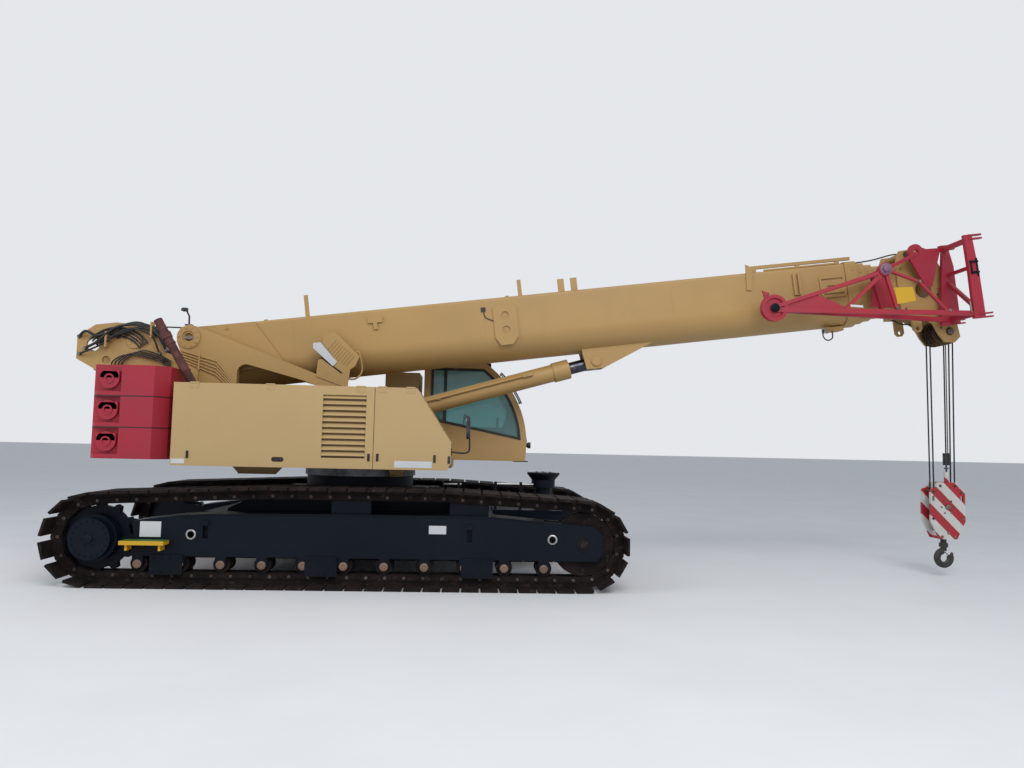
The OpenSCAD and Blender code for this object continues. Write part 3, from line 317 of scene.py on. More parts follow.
@dataclass(frozen=True)
class Striped(Paint):
    """Paint with slanted warning stripes of a second colour.

    Attributes:
        second: the other stripe's colour.
        step: distance from one stripe to the next along the axis, in metres.
        lean: how far a stripe runs along the axis for each metre up.
        along: the axis that the stripes are spread along.
    """

    second: Colour = srgb(205, 202, 196)
    step: float = 0.36
    lean: float = 1.0
    along: str = "X"

    def base(self, g: Graph) -> bpy.types.NodeSocket:
        """The stripes' colours.

        Args:
            g: the material being built.

        Returns:
            The colour.
        """
        across = g.maths("ADD", g.axis(self.along), g.maths("MULTIPLY", g.axis("Z"), self.lean))
        turn = g.maths("FRACT", g.maths("DIVIDE", across, self.step))
        plain = super().base(g)
        return g.mix(g.window(turn, 0.49, 0.51), plain, self.second)


@dataclass(frozen=True)
class Iron:
    """Bare or rusty iron: two rust tones, scuffed bright where it rubs.

    Attributes:
        name: the material's name.
        dark, light: its two tones.
        polish: how much bright metal shows, 0 to 1.
        rough: its roughness.
        metal: how metallic it is.
        grain: the grain's scale, in cells a metre.
        gloss: how strongly it mirrors where it isn't metallic.
    """

    name: str
    dark: Colour
    light: Colour
    polish: float = 0.2
    rough: float = 0.6
    metal: float = 0.6
    grain: float = 30.0
    gloss: float = 0.5

    def build(self) -> bpy.types.Material:
        """Builds the material.

        Returns:
            The material.
        """
        g = Graph(self.name)
        tone = g.mix(g.window(g.noise(4.0, 6.0, 0.65), 0.35, 0.65), self.dark, self.light)
        rubbed = g.window(g.noise(11.0, 5.0, 0.7, g.stretch((1.0, 2.5, 1.0))), 0.55, 0.7)
        scuff = g.maths("MULTIPLY", rubbed, self.polish, True)
        colour = g.mix(scuff, tone, srgb(168, 160, 150))
        rough = g.maths("SUBTRACT", g.maths("ADD", self.rough, g.maths("MULTIPLY", g.noise(20.0), 0.2)),
                        g.maths("MULTIPLY", scuff, 0.25), True)
        height = g.noise(self.grain, 5.0, 0.7)
        return g.finish(Base_Color=colour, Roughness=rough, Metallic=self.metal, Specular_IOR_Level=self.gloss,
                        Normal=g.bump(height, 0.5, 0.004))


@dataclass(frozen=True)
class Rubber:
    """Rubber, plastic or cloth: a soft dark surface with a fine grain and dust.

    Attributes:
        name: the material's name.
        colour, dust: its colour and what settles on it.
        rough: its roughness.
        grain: the grain's scale, in cells a metre.
        depth: the grain's depth, in metres.
    """

    name: str
    colour: Colour
    dust: Colour = srgb(110, 104, 96)
    rough: float = 0.55
    grain: float = 90.0
    depth: float = 0.001

    def build(self) -> bpy.types.Material:
        """Builds the material.

        Returns:
            The material.
        """
        g = Graph(self.name)
        settled = g.maths("MULTIPLY", g.window(g.noise(6.0, 5.0, 0.7), 0.48, 0.8), 0.5, True)
        colour = g.mix(settled, self.colour, self.dust)
        fine = g.noise(self.grain, 3.0, 0.6)
        rough = g.maths("ADD", self.rough, g.maths("MULTIPLY", fine, 0.2), True)
        return g.finish(Base_Color=colour, Roughness=rough, Normal=g.bump(fine, 0.5, self.depth))


@dataclass(frozen=True)
class Glass:
    """Tinted safety glass with a film of dust, less clear towards the top as a painted reflection of the sky.

    Attributes:
        name: the material's name.
        tint: its colour.
    """

    name: str
    tint: Colour

    def build(self) -> bpy.types.Material:
        """Builds the material.

        Returns:
            The material.
        """
        g = Graph(self.name)
        film = g.window(g.noise(3.0, 5.0, 0.6), 0.4, 0.85)
        # Less transmission towards the top makes the glass paler there: a painted reflection of the sky.
        painted_sky_reflection = g.window(g.axis("Z"), 2.35, 3.1)
        colour = g.mix(g.maths("MULTIPLY", film, 0.35), self.tint, srgb(150, 165, 165))
        rough = g.maths("ADD", 0.04, g.maths("MULTIPLY", film, 0.12))
        clear = g.maths("SUBTRACT", 0.72, g.maths("MULTIPLY", painted_sky_reflection, 0.3))
        return g.finish(Base_Color=colour, Roughness=rough, Transmission_Weight=clear, IOR=1.45)


FINISHES: dict[Coat, object] = {
    Coat.OCHRE: Paint("ochre_paint", srgb(178, 142, 84), srgb(170, 135, 83), dirt=srgb(120, 96, 62),
                      under=srgb(96, 66, 44), grime=0.22, chips=0.2),
    Coat.CRIMSON: Paint("crimson_paint", srgb(166, 28, 46), srgb(154, 36, 56), dirt=srgb(92, 34, 42),
                        under=srgb(70, 44, 44), grime=0.3),
    Coat.DARK: Paint("dark_paint", srgb(7, 14, 25), srgb(12, 20, 32), dirt=srgb(34, 33, 35), under=srgb(78, 68, 60),
                     rough=0.4, grime=0.3, mud_top=0.4, gloss=0.14),
    Coat.STEP: Paint("step_paint", srgb(226, 168, 28), srgb(208, 152, 40), mud_top=0.4),
    Coat.TRACK: Iron("track_iron", srgb(18, 14, 14), srgb(38, 28, 26), 0.08, 0.7, 0.05, gloss=0.18),
    Coat.STEEL: Iron("bare_steel", srgb(92, 92, 94), srgb(130, 130, 132), 0.3, 0.4, 0.85),
    Coat.ROD: Iron("rod_steel", srgb(62, 64, 72), srgb(86, 88, 96), 0.3, 0.14, 0.95, 60.0),
    Coat.ROPE: Iron("rope_steel", srgb(34, 33, 33), srgb(58, 55, 52), 0.12, 0.55, 0.7, 120.0),
    Coat.SHEAVE: Iron("sheave_iron", srgb(62, 44, 32), srgb(104, 78, 52), 0.25, 0.5, 0.5),
    Coat.PIPE: Iron("tail_pipe_iron", srgb(70, 42, 42), srgb(108, 66, 60), 0.08, 0.72, 0.3),
    Coat.HOSE: Rubber("hose_rubber", srgb(20, 21, 24)),
    Coat.GLASS: Glass("cab_glass", srgb(150, 204, 204)),
    Coat.CLOTH: Rubber("seat_cloth", srgb(30, 32, 38), grain=420.0, depth=0.002, rough=0.8),
    Coat.PLASTIC: Rubber("black_plastic", srgb(20, 20, 22), rough=0.4, grain=240.0),
    Coat.HOOK: Paint("hook_paint", srgb(24, 25, 27), srgb(42, 41, 40), chips=0.6),
    Coat.BLOCK: Striped("block_stripes", srgb(176, 24, 36), srgb(162, 34, 46), second=srgb(208, 206, 202), chips=0.9),
}
COVER_PAINT = Paint("cover_paint", srgb(184, 155, 107), srgb(180, 151, 105), dirt=srgb(140, 114, 78), grime=0.16,
                    chips=0.0)
CAB_PAINT = Paint("cab_paint", srgb(190, 152, 94), srgb(184, 148, 94), dirt=srgb(130, 104, 72), grime=0.18, chips=0.0)
WHITE_PLATE = Paint("blank_white_plate", srgb(214, 216, 218), srgb(190, 192, 194), grime=0.25, chips=0.05)
YELLOW_PLATE = Paint("blank_yellow_plate", srgb(206, 160, 22), srgb(192, 150, 34), grime=0.2, chips=0.1)
STEP_TREAD = Paint("step_tread_paint", srgb(70, 120, 44), srgb(88, 124, 56), grime=0.4, chips=0.3)
LAMP_GLASS = Glass("lamp_lens", srgb(214, 220, 224))
RED_LENS = Glass("red_lens", srgb(170, 20, 24))
MIRROR = Iron("mirror_silver", srgb(150, 160, 168), srgb(160, 170, 176), 0.0, 0.04, 1.0, 4.0)
# Darker ochre for the panel behind the rear door's louvres: painted shade in the gaps between the slats.
LOUVRE_PAINTED_SHADE = Paint("louvre_painted_shade", srgb(120, 92, 54), srgb(112, 86, 52), grime=0.2, chips=0.0)
CHAIN_PIN = Iron("chain_pin_iron", srgb(44, 36, 34), srgb(84, 72, 64), 0.3, 0.5, 0.4)
PIN_STEEL = Iron("pin_steel", srgb(74, 66, 62), srgb(138, 128, 118), 0.7, 0.35, 0.8)
BRIGHT = Iron("bright_steel", srgb(140, 141, 142), srgb(184, 184, 182), 0.5, 0.3, 0.9)
GRIT = Rubber("grit_sheet", srgb(34, 34, 36), rough=0.9, grain=300.0, depth=0.004)
HUB_PAINT = Paint("hub_paint", srgb(122, 74, 108), srgb(136, 106, 124), chips=0.5)
SCREEN = Rubber("dark_screen", srgb(14, 20, 26), rough=0.12, grain=12.0, depth=0.0002)
ROLLER_PAINT = Paint("roller_paint", srgb(126, 98, 78), srgb(104, 82, 68), grime=0.7, chips=0.5)
# Dark maroon bands at the counterweight's slab joints: painted shade of the grooves between slabs.
SEAM_SHADE_PAINT = Paint("seam_painted_shade", srgb(70, 12, 24), srgb(60, 18, 28), grime=0.6)
TAIL_STRIPES = Striped("tail_stripes", srgb(176, 24, 36), srgb(162, 34, 46), second=srgb(208, 206, 202), chips=0.3,
                       step=0.26, along="Y")
TRIM = Rubber("cab_trim", srgb(58, 60, 64), rough=0.7, grain=200.0)


class Palette:
    """Hands out each finish's material, built once."""

    def __init__(self) -> None:
        """Starts with nothing built."""
        self.made: dict[str, bpy.types.Material] = {}

    def of(self, finish: object) -> bpy.types.Material:
        """The material of a finish or of a coat.

        Args:
            finish: a Coat, or a finish of its own.

        Returns:
            Its material.
        """
        spec = FINISHES[finish] if isinstance(finish, Coat) else finish
        if spec.name not in self.made:
            self.made[spec.name] = spec.build()
            log.info("finish %s", spec.name)
        return self.made[spec.name]


PALETTE = Palette()


@dataclass(frozen=True)
class Axes:
    """Where the crane's own axes lie in the row frame.

    Attributes:
        slew_x: the slewing axis, along X.
        foot: the boom's foot pin.
        lean: the boom's angle over level, in radians.
        luff: the luffing cylinder's base pin.
        luff_lean: the cylinder's angle over level, in radians.
        head_u, head_w: the head sheaves' axle, along and across the boom.
        jib_u, jib_y, jib_lean: where the folded jib's near truss starts, and its turn towards the tip.
    """

    slew_x: float
    foot: Vector
    lean: float
    luff: Vector
    luff_lean: float
    head_u: float = 11.58
    head_w: float = -1.05
    jib_u: float = 11.56
    jib_y: float = -1.05
    jib_lean: float = math.atan(0.325 / 2.93)

    def slew(self, p: np.ndarray) -> np.ndarray:
        """Points measured from the slewing axis, in the row frame."""
        return np.asarray(p, float) + [self.slew_x, 0.0, 0.0]

    def tilted(self, p: np.ndarray, origin: Vector, lean: float) -> np.ndarray:
        """Points measured from a pin, with their first axis turned up by lean."""
        p, c, s = np.asarray(p, float), math.cos(lean), math.sin(lean)
        return np.column_stack([p[:, 0] * c - p[:, 2] * s, p[:, 1], p[:, 0] * s + p[:, 2] * c]) + list(origin)

    def boom(self, p: np.ndarray) -> np.ndarray:
        """Points along, beside and across the boom."""
        return self.tilted(p, self.foot, self.lean)

    def cylinder(self, p: np.ndarray) -> np.ndarray:
        """Points along, beside and across the luffing cylinder."""
        return self.tilted(p, self.luff, self.luff_lean)

    def head(self, p: np.ndarray) -> np.ndarray:
        """Points measured plumb from the head sheaves' axle."""
        return np.asarray(p, float) + self.boom(np.array([[self.head_u, 0.0, self.head_w]]))

    def jib(self, p: np.ndarray) -> np.ndarray:
        """Points along the folded jib's near truss, x negative towards its tip."""
        p, c, s = np.asarray(p, float), math.cos(self.jib_lean), math.sin(self.jib_lean)
        return self.boom(np.column_stack([self.jib_u + p[:, 0] * c + p[:, 1] * s,
                                          self.jib_y - p[:, 0] * s + p[:, 1] * c, p[:, 2]]))


def read_axes() -> Axes:
    """Reads the crane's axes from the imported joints.

    Returns:
        The axes.
    """
    where = {j["name"]: j for j in frame["joints"]}
    along, slide = where["telescope_1"]["axis"], where["luff_rod_slide"]["axis"]
    return Axes(where["slew"]["pos_m"][0], Vector(where["luff"]["pos_m"]), math.atan2(along[2], along[0]),
                Vector(where["luff_barrel_pivot"]["pos_m"]), math.atan2(slide[2], slide[0]))


AXES = read_axes()


@dataclass(frozen=True)
class Viewpoint:
    """The photograph's camera, measured from the slewing axis.

    Attributes:
        place: where it stands, in metres.
        yaw, pitch, roll: its turn towards +X, up, and about its own axis, in degrees.
        sensor: width of its sensor, in millimetres.
        lens: its focal length, in millimetres.
    """

    place: Point = (1.64, -12.0, 1.94)
    yaw: float = 3.03
    pitch: float = 4.41
    roll: float = 1.24
    sensor: float = 36.0
    lens: float = 775.0 / 1024.0 * 36.0

    def build(self) -> None:
        """Makes the camera the scene's."""
        data = bpy.data.cameras.new("photo_camera")
        data.sensor_width, data.lens = self.sensor, self.lens
        data.clip_start, data.clip_end = 0.1, 400.0
        camera = bpy.data.objects.new("photo_camera", data)
        yaw, pitch, roll = (math.radians(a) for a in (self.yaw, self.pitch, self.roll))
        ahead = Vector((math.sin(yaw) * math.cos(pitch), math.cos(yaw) * math.cos(pitch), math.sin(pitch)))
        right = Vector((math.cos(yaw), -math.sin(yaw), 0.0))
        up = right.cross(ahead)
        right_rolled = math.cos(roll) * right + math.sin(roll) * up
        up_rolled = math.cos(roll) * up - math.sin(roll) * right
        turn = Matrix((right_rolled, up_rolled, -ahead)).transposed().to_4x4()
        camera.matrix_world = Matrix.Translation(Vector(self.place) + Vector((AXES.slew_x, 0.0, 0.0))) @ turn
        bpy.context.scene.collection.objects.link(camera)
        bpy.context.scene.camera = camera


@dataclass(frozen=True)
class Studio:
    """The plain pale floor and the soft light.

    Attributes:
        floor_half: half the floor's side, in metres.
        floor_tones: the floor's two pale colours.
        sky: strength of the even light all round.
        sky_light, sky_seen: its colour on the crane and before the camera.
        lamps: each soft lamp's name, place, target, side in metres and power in watts.
    """

    floor_half: float = 160.0
    floor_tones: tuple[Colour, Colour] = ((0.80, 0.81, 0.82), (0.83, 0.84, 0.85))
    sky: float = 0.46
    sky_light: Colour = (0.84, 0.90, 1.0)
    sky_seen: Colour = (0.78, 0.80, 0.83)
    lamps: tuple[tuple[str, Point, Point, float, float], ...] = (
        ("key_lamp", (5.0, -14.0, 13.0), (1.5, 0.0, 1.5), 10.0, 1500.0),
        ("fill_lamp", (-12.0, -8.0, 10.0), (0.0, 0.0, 1.5), 8.0, 620.0))

    def build(self) -> None:
        """Makes the floor, the sky and the lamps."""
        bpy.context.scene.view_settings.view_transform = "Standard"
        h = self.floor_half
        mesh = bpy.data.meshes.new("floor")
        mesh.from_pydata([(-h, -h, 0), (h, -h, 0), (h, h, 0), (-h, h, 0)], [], [(0, 1, 2, 3)])
        floor = bpy.data.objects.new("floor", mesh)
        bpy.context.scene.collection.objects.link(floor)
        g = Graph("floor_paint")
        tone = g.mix(g.window(g.noise(0.6, 4.0), 0.3, 0.7), *self.floor_tones)
        mesh.materials.append(g.finish(Base_Color=tone, Roughness=0.8, Normal=g.bump(g.noise(60.0), 0.1, 0.001)))
        self.build_sky()
        shift = Vector((AXES.slew_x, 0.0, 0.0))
        for name, place, target, size, power in self.lamps:
            self.lamp(name, Vector(place) + shift, Vector(target) + shift, size, power)

    def build_sky(self) -> None:
        """Makes a sky that lights softly and looks pale to the camera."""
        world = bpy.data.worlds.new("studio_sky")
        bpy.context.scene.world = world
        world.use_nodes = True
        tree = world.node_tree
        tree.nodes.clear()
        light, seen = (tree.nodes.new("ShaderNodeBackground") for _ in range(2))
        light.inputs["Color"].default_value = (*self.sky_light, 1.0)
        light.inputs["Strength"].default_value = self.sky
        seen.inputs["Color"].default_value = (*self.sky_seen, 1.0)
        path, mixer = tree.nodes.new("ShaderNodeLightPath"), tree.nodes.new("ShaderNodeMixShader")
        out = tree.nodes.new("ShaderNodeOutputWorld")
        shown = path.outputs["Is Camera Ray"]
        for kind in ("Is Glossy Ray", "Is Transmission Ray"):
            either = tree.nodes.new("ShaderNodeMath")
            either.operation = "MAXIMUM"
            tree.links.new(shown, either.inputs[0])
            tree.links.new(path.outputs[kind], either.inputs[1])
            shown = either.outputs[0]
        tree.links.new(shown, mixer.inputs[0])
        tree.links.new(light.outputs[0], mixer.inputs[1])
        tree.links.new(seen.outputs[0], mixer.inputs[2])
        tree.links.new(mixer.outputs[0], out.inputs["Surface"])

    def lamp(self, name: str, place: Vector, target: Vector, size: float, power: float) -> None:
        """A soft square lamp turned to a target.

        Args:
            name: its name.
            place, target: where it is and what it lights.
            size: its side, in metres.
            power: its power, in watts.
        """
        data = bpy.data.lights.new(name, "AREA")
        data.size, data.energy = size, power
        lamp = bpy.data.objects.new(name, data)
        lamp.location = place
        lamp.rotation_euler = (target - place).to_track_quat("-Z", "Y").to_euler()
        bpy.context.scene.collection.objects.link(lamp)


def turned(axis: Point, count: int) -> tuple[np.ndarray, np.ndarray]:
    """A direction k and the circle cos q a + sin q b across it, with a and b square to k and to each other.

    Args:
        axis: the direction, of any length.
        count: how many points the circle has.

    Returns:
        The direction's unit vector, and count by 3 points.
    """
    k = np.asarray(axis, float) / np.linalg.norm(axis)
    a = np.cross(k, [0.0, 0.0, 1.0] if abs(k[2]) < 0.9 else [1.0, 0.0, 0.0])
    a /= np.linalg.norm(a)
    q = np.linspace(0, 2 * np.pi, count, endpoint=False)
    return k, np.outer(np.cos(q), a) + np.outer(np.sin(q), np.cross(k, a))


class Shape:
    """A mesh that grows part by part in local coordinates and becomes one piece.

    Attributes:
        place: turns local points into points of the row frame.
    """

    def __init__(self, place: Place = AXES.slew) -> None:
        """Starts empty.

        Args:
            place: the local frame, such as AXES.boom.
        """
        self.place = place
        self.points: list[np.ndarray] = []
        self.faces: list[tuple[int, ...]] = []
        self.count = 0

    def add(self, points: np.ndarray, faces: list[tuple[int, ...]]) -> "Shape":
        """Adds points and the faces between them.

        Args:
            points: n by 3 local points.
            faces: faces by index into those points.

        Returns:
            The shape itself.
        """
        self.points.append(np.asarray(points, float))
        self.faces.extend(tuple(i + self.count for i in face) for face in faces)
        self.count += len(points)
        return self

    def loft(self, rings: np.ndarray, ends: str = "capped") -> "Shape":
        """A skin through closed rings of points.

        Args:
            rings: array of rings, points and coordinates.
            ends: capped, or joined if the last ring meets the first.

        Returns:
            The shape itself.
        """
        n, m = rings.shape[:2]
        steps = n if ends == "joined" else n - 1
        faces = [(i * m + j, i * m + (j + 1) % m, (i + 1) % n * m + (j + 1) % m, (i + 1) % n * m + j)
                 for i in range(steps) for j in range(m)]
        if ends == "capped":
            faces += [tuple(range(m))[::-1], tuple(range((n - 1) * m, n * m))]
        return self.add(rings.reshape(-1, 3), faces)

    def tube(self, path: Path, radius: float, sides: int = 8) -> "Shape":
        """A round bar or hose along a path.

        Each ring stands across the path's direction t, on axes a and b, where a is the last a with its part
        along t taken out and b = t x a, so the tube doesn't twist.

        Args:
            path: n by 3 local points.
            radius: the bar's radius.
            sides: points round it.

        Returns:
            The shape itself.
        """
        path = np.asarray(path, float)
        t = np.gradient(path, axis=0)
        t /= np.linalg.norm(t, axis=1, keepdims=True)
        a = np.cross(t[0], [0.0, 0.0, 1.0] if abs(t[0][2]) < 0.9 else [1.0, 0.0, 0.0])
        q = np.linspace(0, 2 * np.pi, sides, endpoint=False)
        rings = []
        for point, ahead in zip(path, t):
            a = a - ahead * (a @ ahead)
            a /= np.linalg.norm(a)
            b = np.cross(ahead, a)
            rings.append(point + radius * (np.outer(np.cos(q), a) + np.outer(np.sin(q), b)))
        return self.loft(np.array(rings))

    def revolve(self, profile: list[tuple[float, float]], origin: Point, axis: Point, sides: int = 16,
                ends: str = "capped") -> "Shape":
        """A turned form.

        A profile point (s, r) becomes the circle origin + s k + r (cos q a + sin q b), with k the axis.

        Args:
            profile: distance along the axis and radius, point by point.
            origin: where the axis starts.
            axis: its direction.
            sides: points round it.
            ends: capped, or joined for a ring with a hole.

        Returns:
            The shape itself.
        """
        k, circle = turned(axis, sides)
        rings = [np.asarray(origin) + s * k + max(r, 1e-4) * circle for s, r in profile]
        return self.loft(np.array(rings), ends)

    def slab(self, low: Point, high: Point, bevel: float = 0.004) -> "Shape":
        """A block with its edges taken off.

        Args:
            low, high: two opposite corners.
            bevel: width of the bevel.

        Returns:
            The shape itself.
        """
        low, high = np.minimum(low, high), np.maximum(low, high)
        b = min(bevel, 0.45 * float((high - low).min()))
        corners = [(x, y, z) for x in (0, 1) for y in (0, 1) for z in (0, 1)]
        at = {(s, axis): 3 * k + axis for k, s in enumerate(corners) for axis in range(3)}
        points = [np.where(s, high, low) + np.where(s, -b, b) * (np.arange(3) != axis)
                  for s in corners for axis in range(3)]
        faces: list[tuple[int, ...]] = [tuple(at[s, axis] for axis in range(3)) for s in corners]
        for axis in range(3):
            u, v = (axis + 1) % 3, (axis + 2) % 3

            def corner(side: int, p: int, q: int) -> tuple[int, ...]:
                """The corner at side along the axis, and at p and q along the two others."""
                spot = {axis: side, u: p, v: q}
                return spot[0], spot[1], spot[2]

            for side in (0, 1):
                faces.append(tuple(at[corner(side, p, q), axis] for p, q in ((0, 0), (1, 0), (1, 1), (0, 1))))
            for p in (0, 1):
                for q in (0, 1):
                    one, two = corner(0, p, q), corner(1, p, q)
                    faces.append((at[one, u], at[two, u], at[two, v], at[one, v]))
        return self.add(np.array(points), faces)

    def prism(self, outline: Outline, start: float, depth: float, axis: int = 1) -> "Shape":
        """A plate cut to an outline.

        Args:
            outline: n by 2 points, in the two other axes in their order.
            start: where it starts along the axis.
            depth: how far it goes.
            axis: the axis across the plate.

        Returns:
            The shape itself.
        """
        flat = np.asarray(outline, float)
        return self.loft(np.array([np.insert(flat, axis, v, axis=1) for v in (start, start + depth)]))

    def band(self, outline: np.ndarray, inward: float, outward: float, start: float, depth: float) -> "Shape":
        """A strip that follows a closed outline in X and Z, such as a window's seal.

        Each corner moves along m = (n1 + n2) / (1 + n1 . n2), with n1 and n2 its two edges' normals, so the
        strip keeps its width round corners.

        Args:
            outline: n by 2 points.
            inward, outward: how far it reaches to either side.
            start: where it starts along Y.
            depth: how far it goes.

        Returns:
            The shape itself.
        """
        flat = np.asarray(outline, float)
        edge = np.roll(flat, -1, axis=0) - flat
        edge /= np.linalg.norm(edge, axis=1, keepdims=True)
        normal = np.column_stack([edge[:, 1], -edge[:, 0]])
        before = np.roll(normal, 1, axis=0)
        mitre = (normal + before) / (1 + (normal * before).sum(axis=1, keepdims=True))
        corners = [(-inward, start), (outward, start), (outward, start + depth), (-inward, start + depth)]
        rings = np.stack([np.insert(flat + w * mitre, 1, y, axis=1) for w, y in corners], axis=1)
        return self.loft(rings, "joined")

    def bolts(self, places: list[Point], axis: Point, radius: float = 0.014, height: float = 0.010) -> "Shape":
        """Hexagon bolt heads, each on its washer.

        Args:
            places: where each stands.
            axis: the way they point.
            radius, height: size of a head.

        Returns:
            The shape itself.
        """
        for place in places:
            self.revolve([(-0.002, radius * 1.35), (0.003, radius * 1.35), (0.003, radius), (height, radius * 0.94),
                          (height, 0.0)], place, axis, 6)
        return self

    def bolt_ring(self, centre: Point, axis: Point, ring: float, count: int, radius: float = 0.012) -> "Shape":
        """A circle of bolt heads.

        Args:
            centre, axis: the circle's centre and direction.
            ring: the circle's radius.
            count: how many bolts.
            radius: radius of a head.

        Returns:
            The shape itself.
        """
        spots = np.asarray(centre) + ring * turned(axis, count)[1]
        return self.bolts([tuple(spot) for spot in spots], axis, radius, radius * 0.75)

    def cap(self, origin: Point, axis: Point, radius: float, height: float, bevel: tuple[float, float],
            sides: int = 24, start: float = 0) -> "Shape":
        """A round cap with its rim taken off.

        Args:
            origin, axis: where it stands and the way it points.
            radius, height: its size.
            bevel: how much the rim loses along the axis and across it.
            sides: points round it.
            start: where along the axis it starts.

        Returns:
            The shape itself.
        """
        along, across = bevel
        return self.revolve([(start, radius), (height - along, radius), (height, radius - across), (height, 0)],
                            origin, axis, sides)

    def collar(self, origin: Point, axis: Point, outer: float, inner: float, start: float, stop: float,
               sides: int = 48) -> "Shape":
        """A ring with a square section.

        Args:
            origin, axis: its middle and direction.
            outer, inner: its radii.
            start, stop: its ends along the axis.
            sides: points round it.

        Returns:
            The shape itself.
        """
        profile = [(start, outer), (stop, outer), (stop, inner), (start, inner)]
        return self.revolve(profile, origin, axis, sides, "joined")

    def hose(self, points: Path, radius: float, sides: int = 8, steps: int = 6) -> "Shape":
        """A bar or hose that bends smoothly through points.

        Args:
            points: the points it passes.
            radius: its radius.
            sides: points round it.
            steps: how many steps between two points.

        Returns:
            The shape itself.
        """
        return self.tube(curve(points, steps), radius, sides)

    def piece(self, name: str, finish: object, body: str = "upper_carriage", smooth: bool = False,
              stands_for: tuple[str, ...] = ()) -> bpy.types.Object:
        """Makes the piece, in its place and riding on its body.

        Args:
            name: the piece's name.
            finish: its Coat or finish.
            body: the body it rides on.
            smooth: True to shade its curved sides smooth.
            stands_for: CAD nodes that it replaces.

        Returns:
            The object.
        """
        mesh = bpy.data.meshes.new(name)
        mesh.from_pydata(self.place(np.vstack(self.points)).tolist(), [], self.faces)
        shell = bmesh.new()
        shell.from_mesh(mesh)
        bmesh.ops.recalc_face_normals(shell, faces=shell.faces)
        for edge in shell.edges:
            edge.smooth = not smooth or edge.calc_face_angle(0.0) < SHARP
        for face in shell.faces:
            face.smooth = smooth
        shell.to_mesh(mesh)
        shell.free()
        mesh.materials.append(PALETTE.of(finish))
        obj = bpy.data.objects.new(name, mesh)
        bpy.context.scene.collection.objects.link(obj)
        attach(obj, body)
        for node in stands_for:
            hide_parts(node)
        log.info("piece %s on %s, %d faces", name, body, len(self.faces))
        return obj


SHARP = math.radians(38.0)


def arc(centre: tuple[float, float], radius: float, start: float, stop: float, steps: int) -> np.ndarray:
    """Points on an arc, (x + r cos q, z + r sin q).

    Args:
        centre: its centre.
        radius: its radius.
        start, stop: its ends, in degrees.
        steps: how many points.

    Returns:
        n by 2 points.
    """
    q = np.radians(np.linspace(start, stop, steps))
    return np.column_stack([centre[0] + radius * np.cos(q), centre[1] + radius * np.sin(q)])


def at_y(flat: np.ndarray, y: float) -> np.ndarray:
    """Points in X and Z, set at one Y.

    Args:
        flat: n by 2 points.
        y: their Y.

    Returns:
        n by 3 points.
    """
    return np.insert(np.asarray(flat, float), 1, y, axis=1)


def rounded(a: float, b: float, power: float, steps: int, closed: bool = False) -> np.ndarray:
    """The outline of a rounded rectangle: a cos q and b sin q with their sizes raised to a power.

    Args:
        a, b: its half sizes.
        power: 1 for an ellipse, less for squarer corners.
        steps: how many points.
        closed: True to repeat the first point at the end.

    Returns:
        n by 2 points.
    """
    q = np.linspace(0, 2 * np.pi, steps, endpoint=closed)
    c, s = np.cos(q), np.sin(q)
    return np.column_stack([a * np.sign(c) * np.abs(c) ** power, b * np.sign(s) * np.abs(s) ** power])


def curve(points: Path, steps: int) -> np.ndarray:
    """A smooth path through points.

    Between p1 and p2, with neighbours p0 and p3, it is the Catmull-Rom cubic
    0.5 (2 p1 + (p2 - p0) t + (2 p0 - 5 p1 + 4 p2 - p3) t^2 + (3 p1 - p0 - 3 p2 + p3) t^3).

    Args:
        points: the points it passes.
        steps: how many steps between two of them.

    Returns:
        n by 3 points.
    """
    p = np.asarray(points, float)
    p = np.vstack([2 * p[0] - p[1], p, 2 * p[-1] - p[-2]])
    t = np.linspace(0, 1, steps, endpoint=False)[:, None]
    parts = [0.5 * (2 * b + (c - a) * t + (2 * a - 5 * b + 4 * c - d) * t**2 + (3 * b - a - 3 * c + d) * t**3)
             for a, b, c, d in zip(p[:-3], p[1:-2], p[2:-1], p[3:])]
    return np.vstack([*parts, p[-2:-1]])


SIDES = (-1, 1)


def side_word(side: int) -> str:
    """The word for a side: right for -1, left for 1."""
    return "right" if side < 0 else "left"


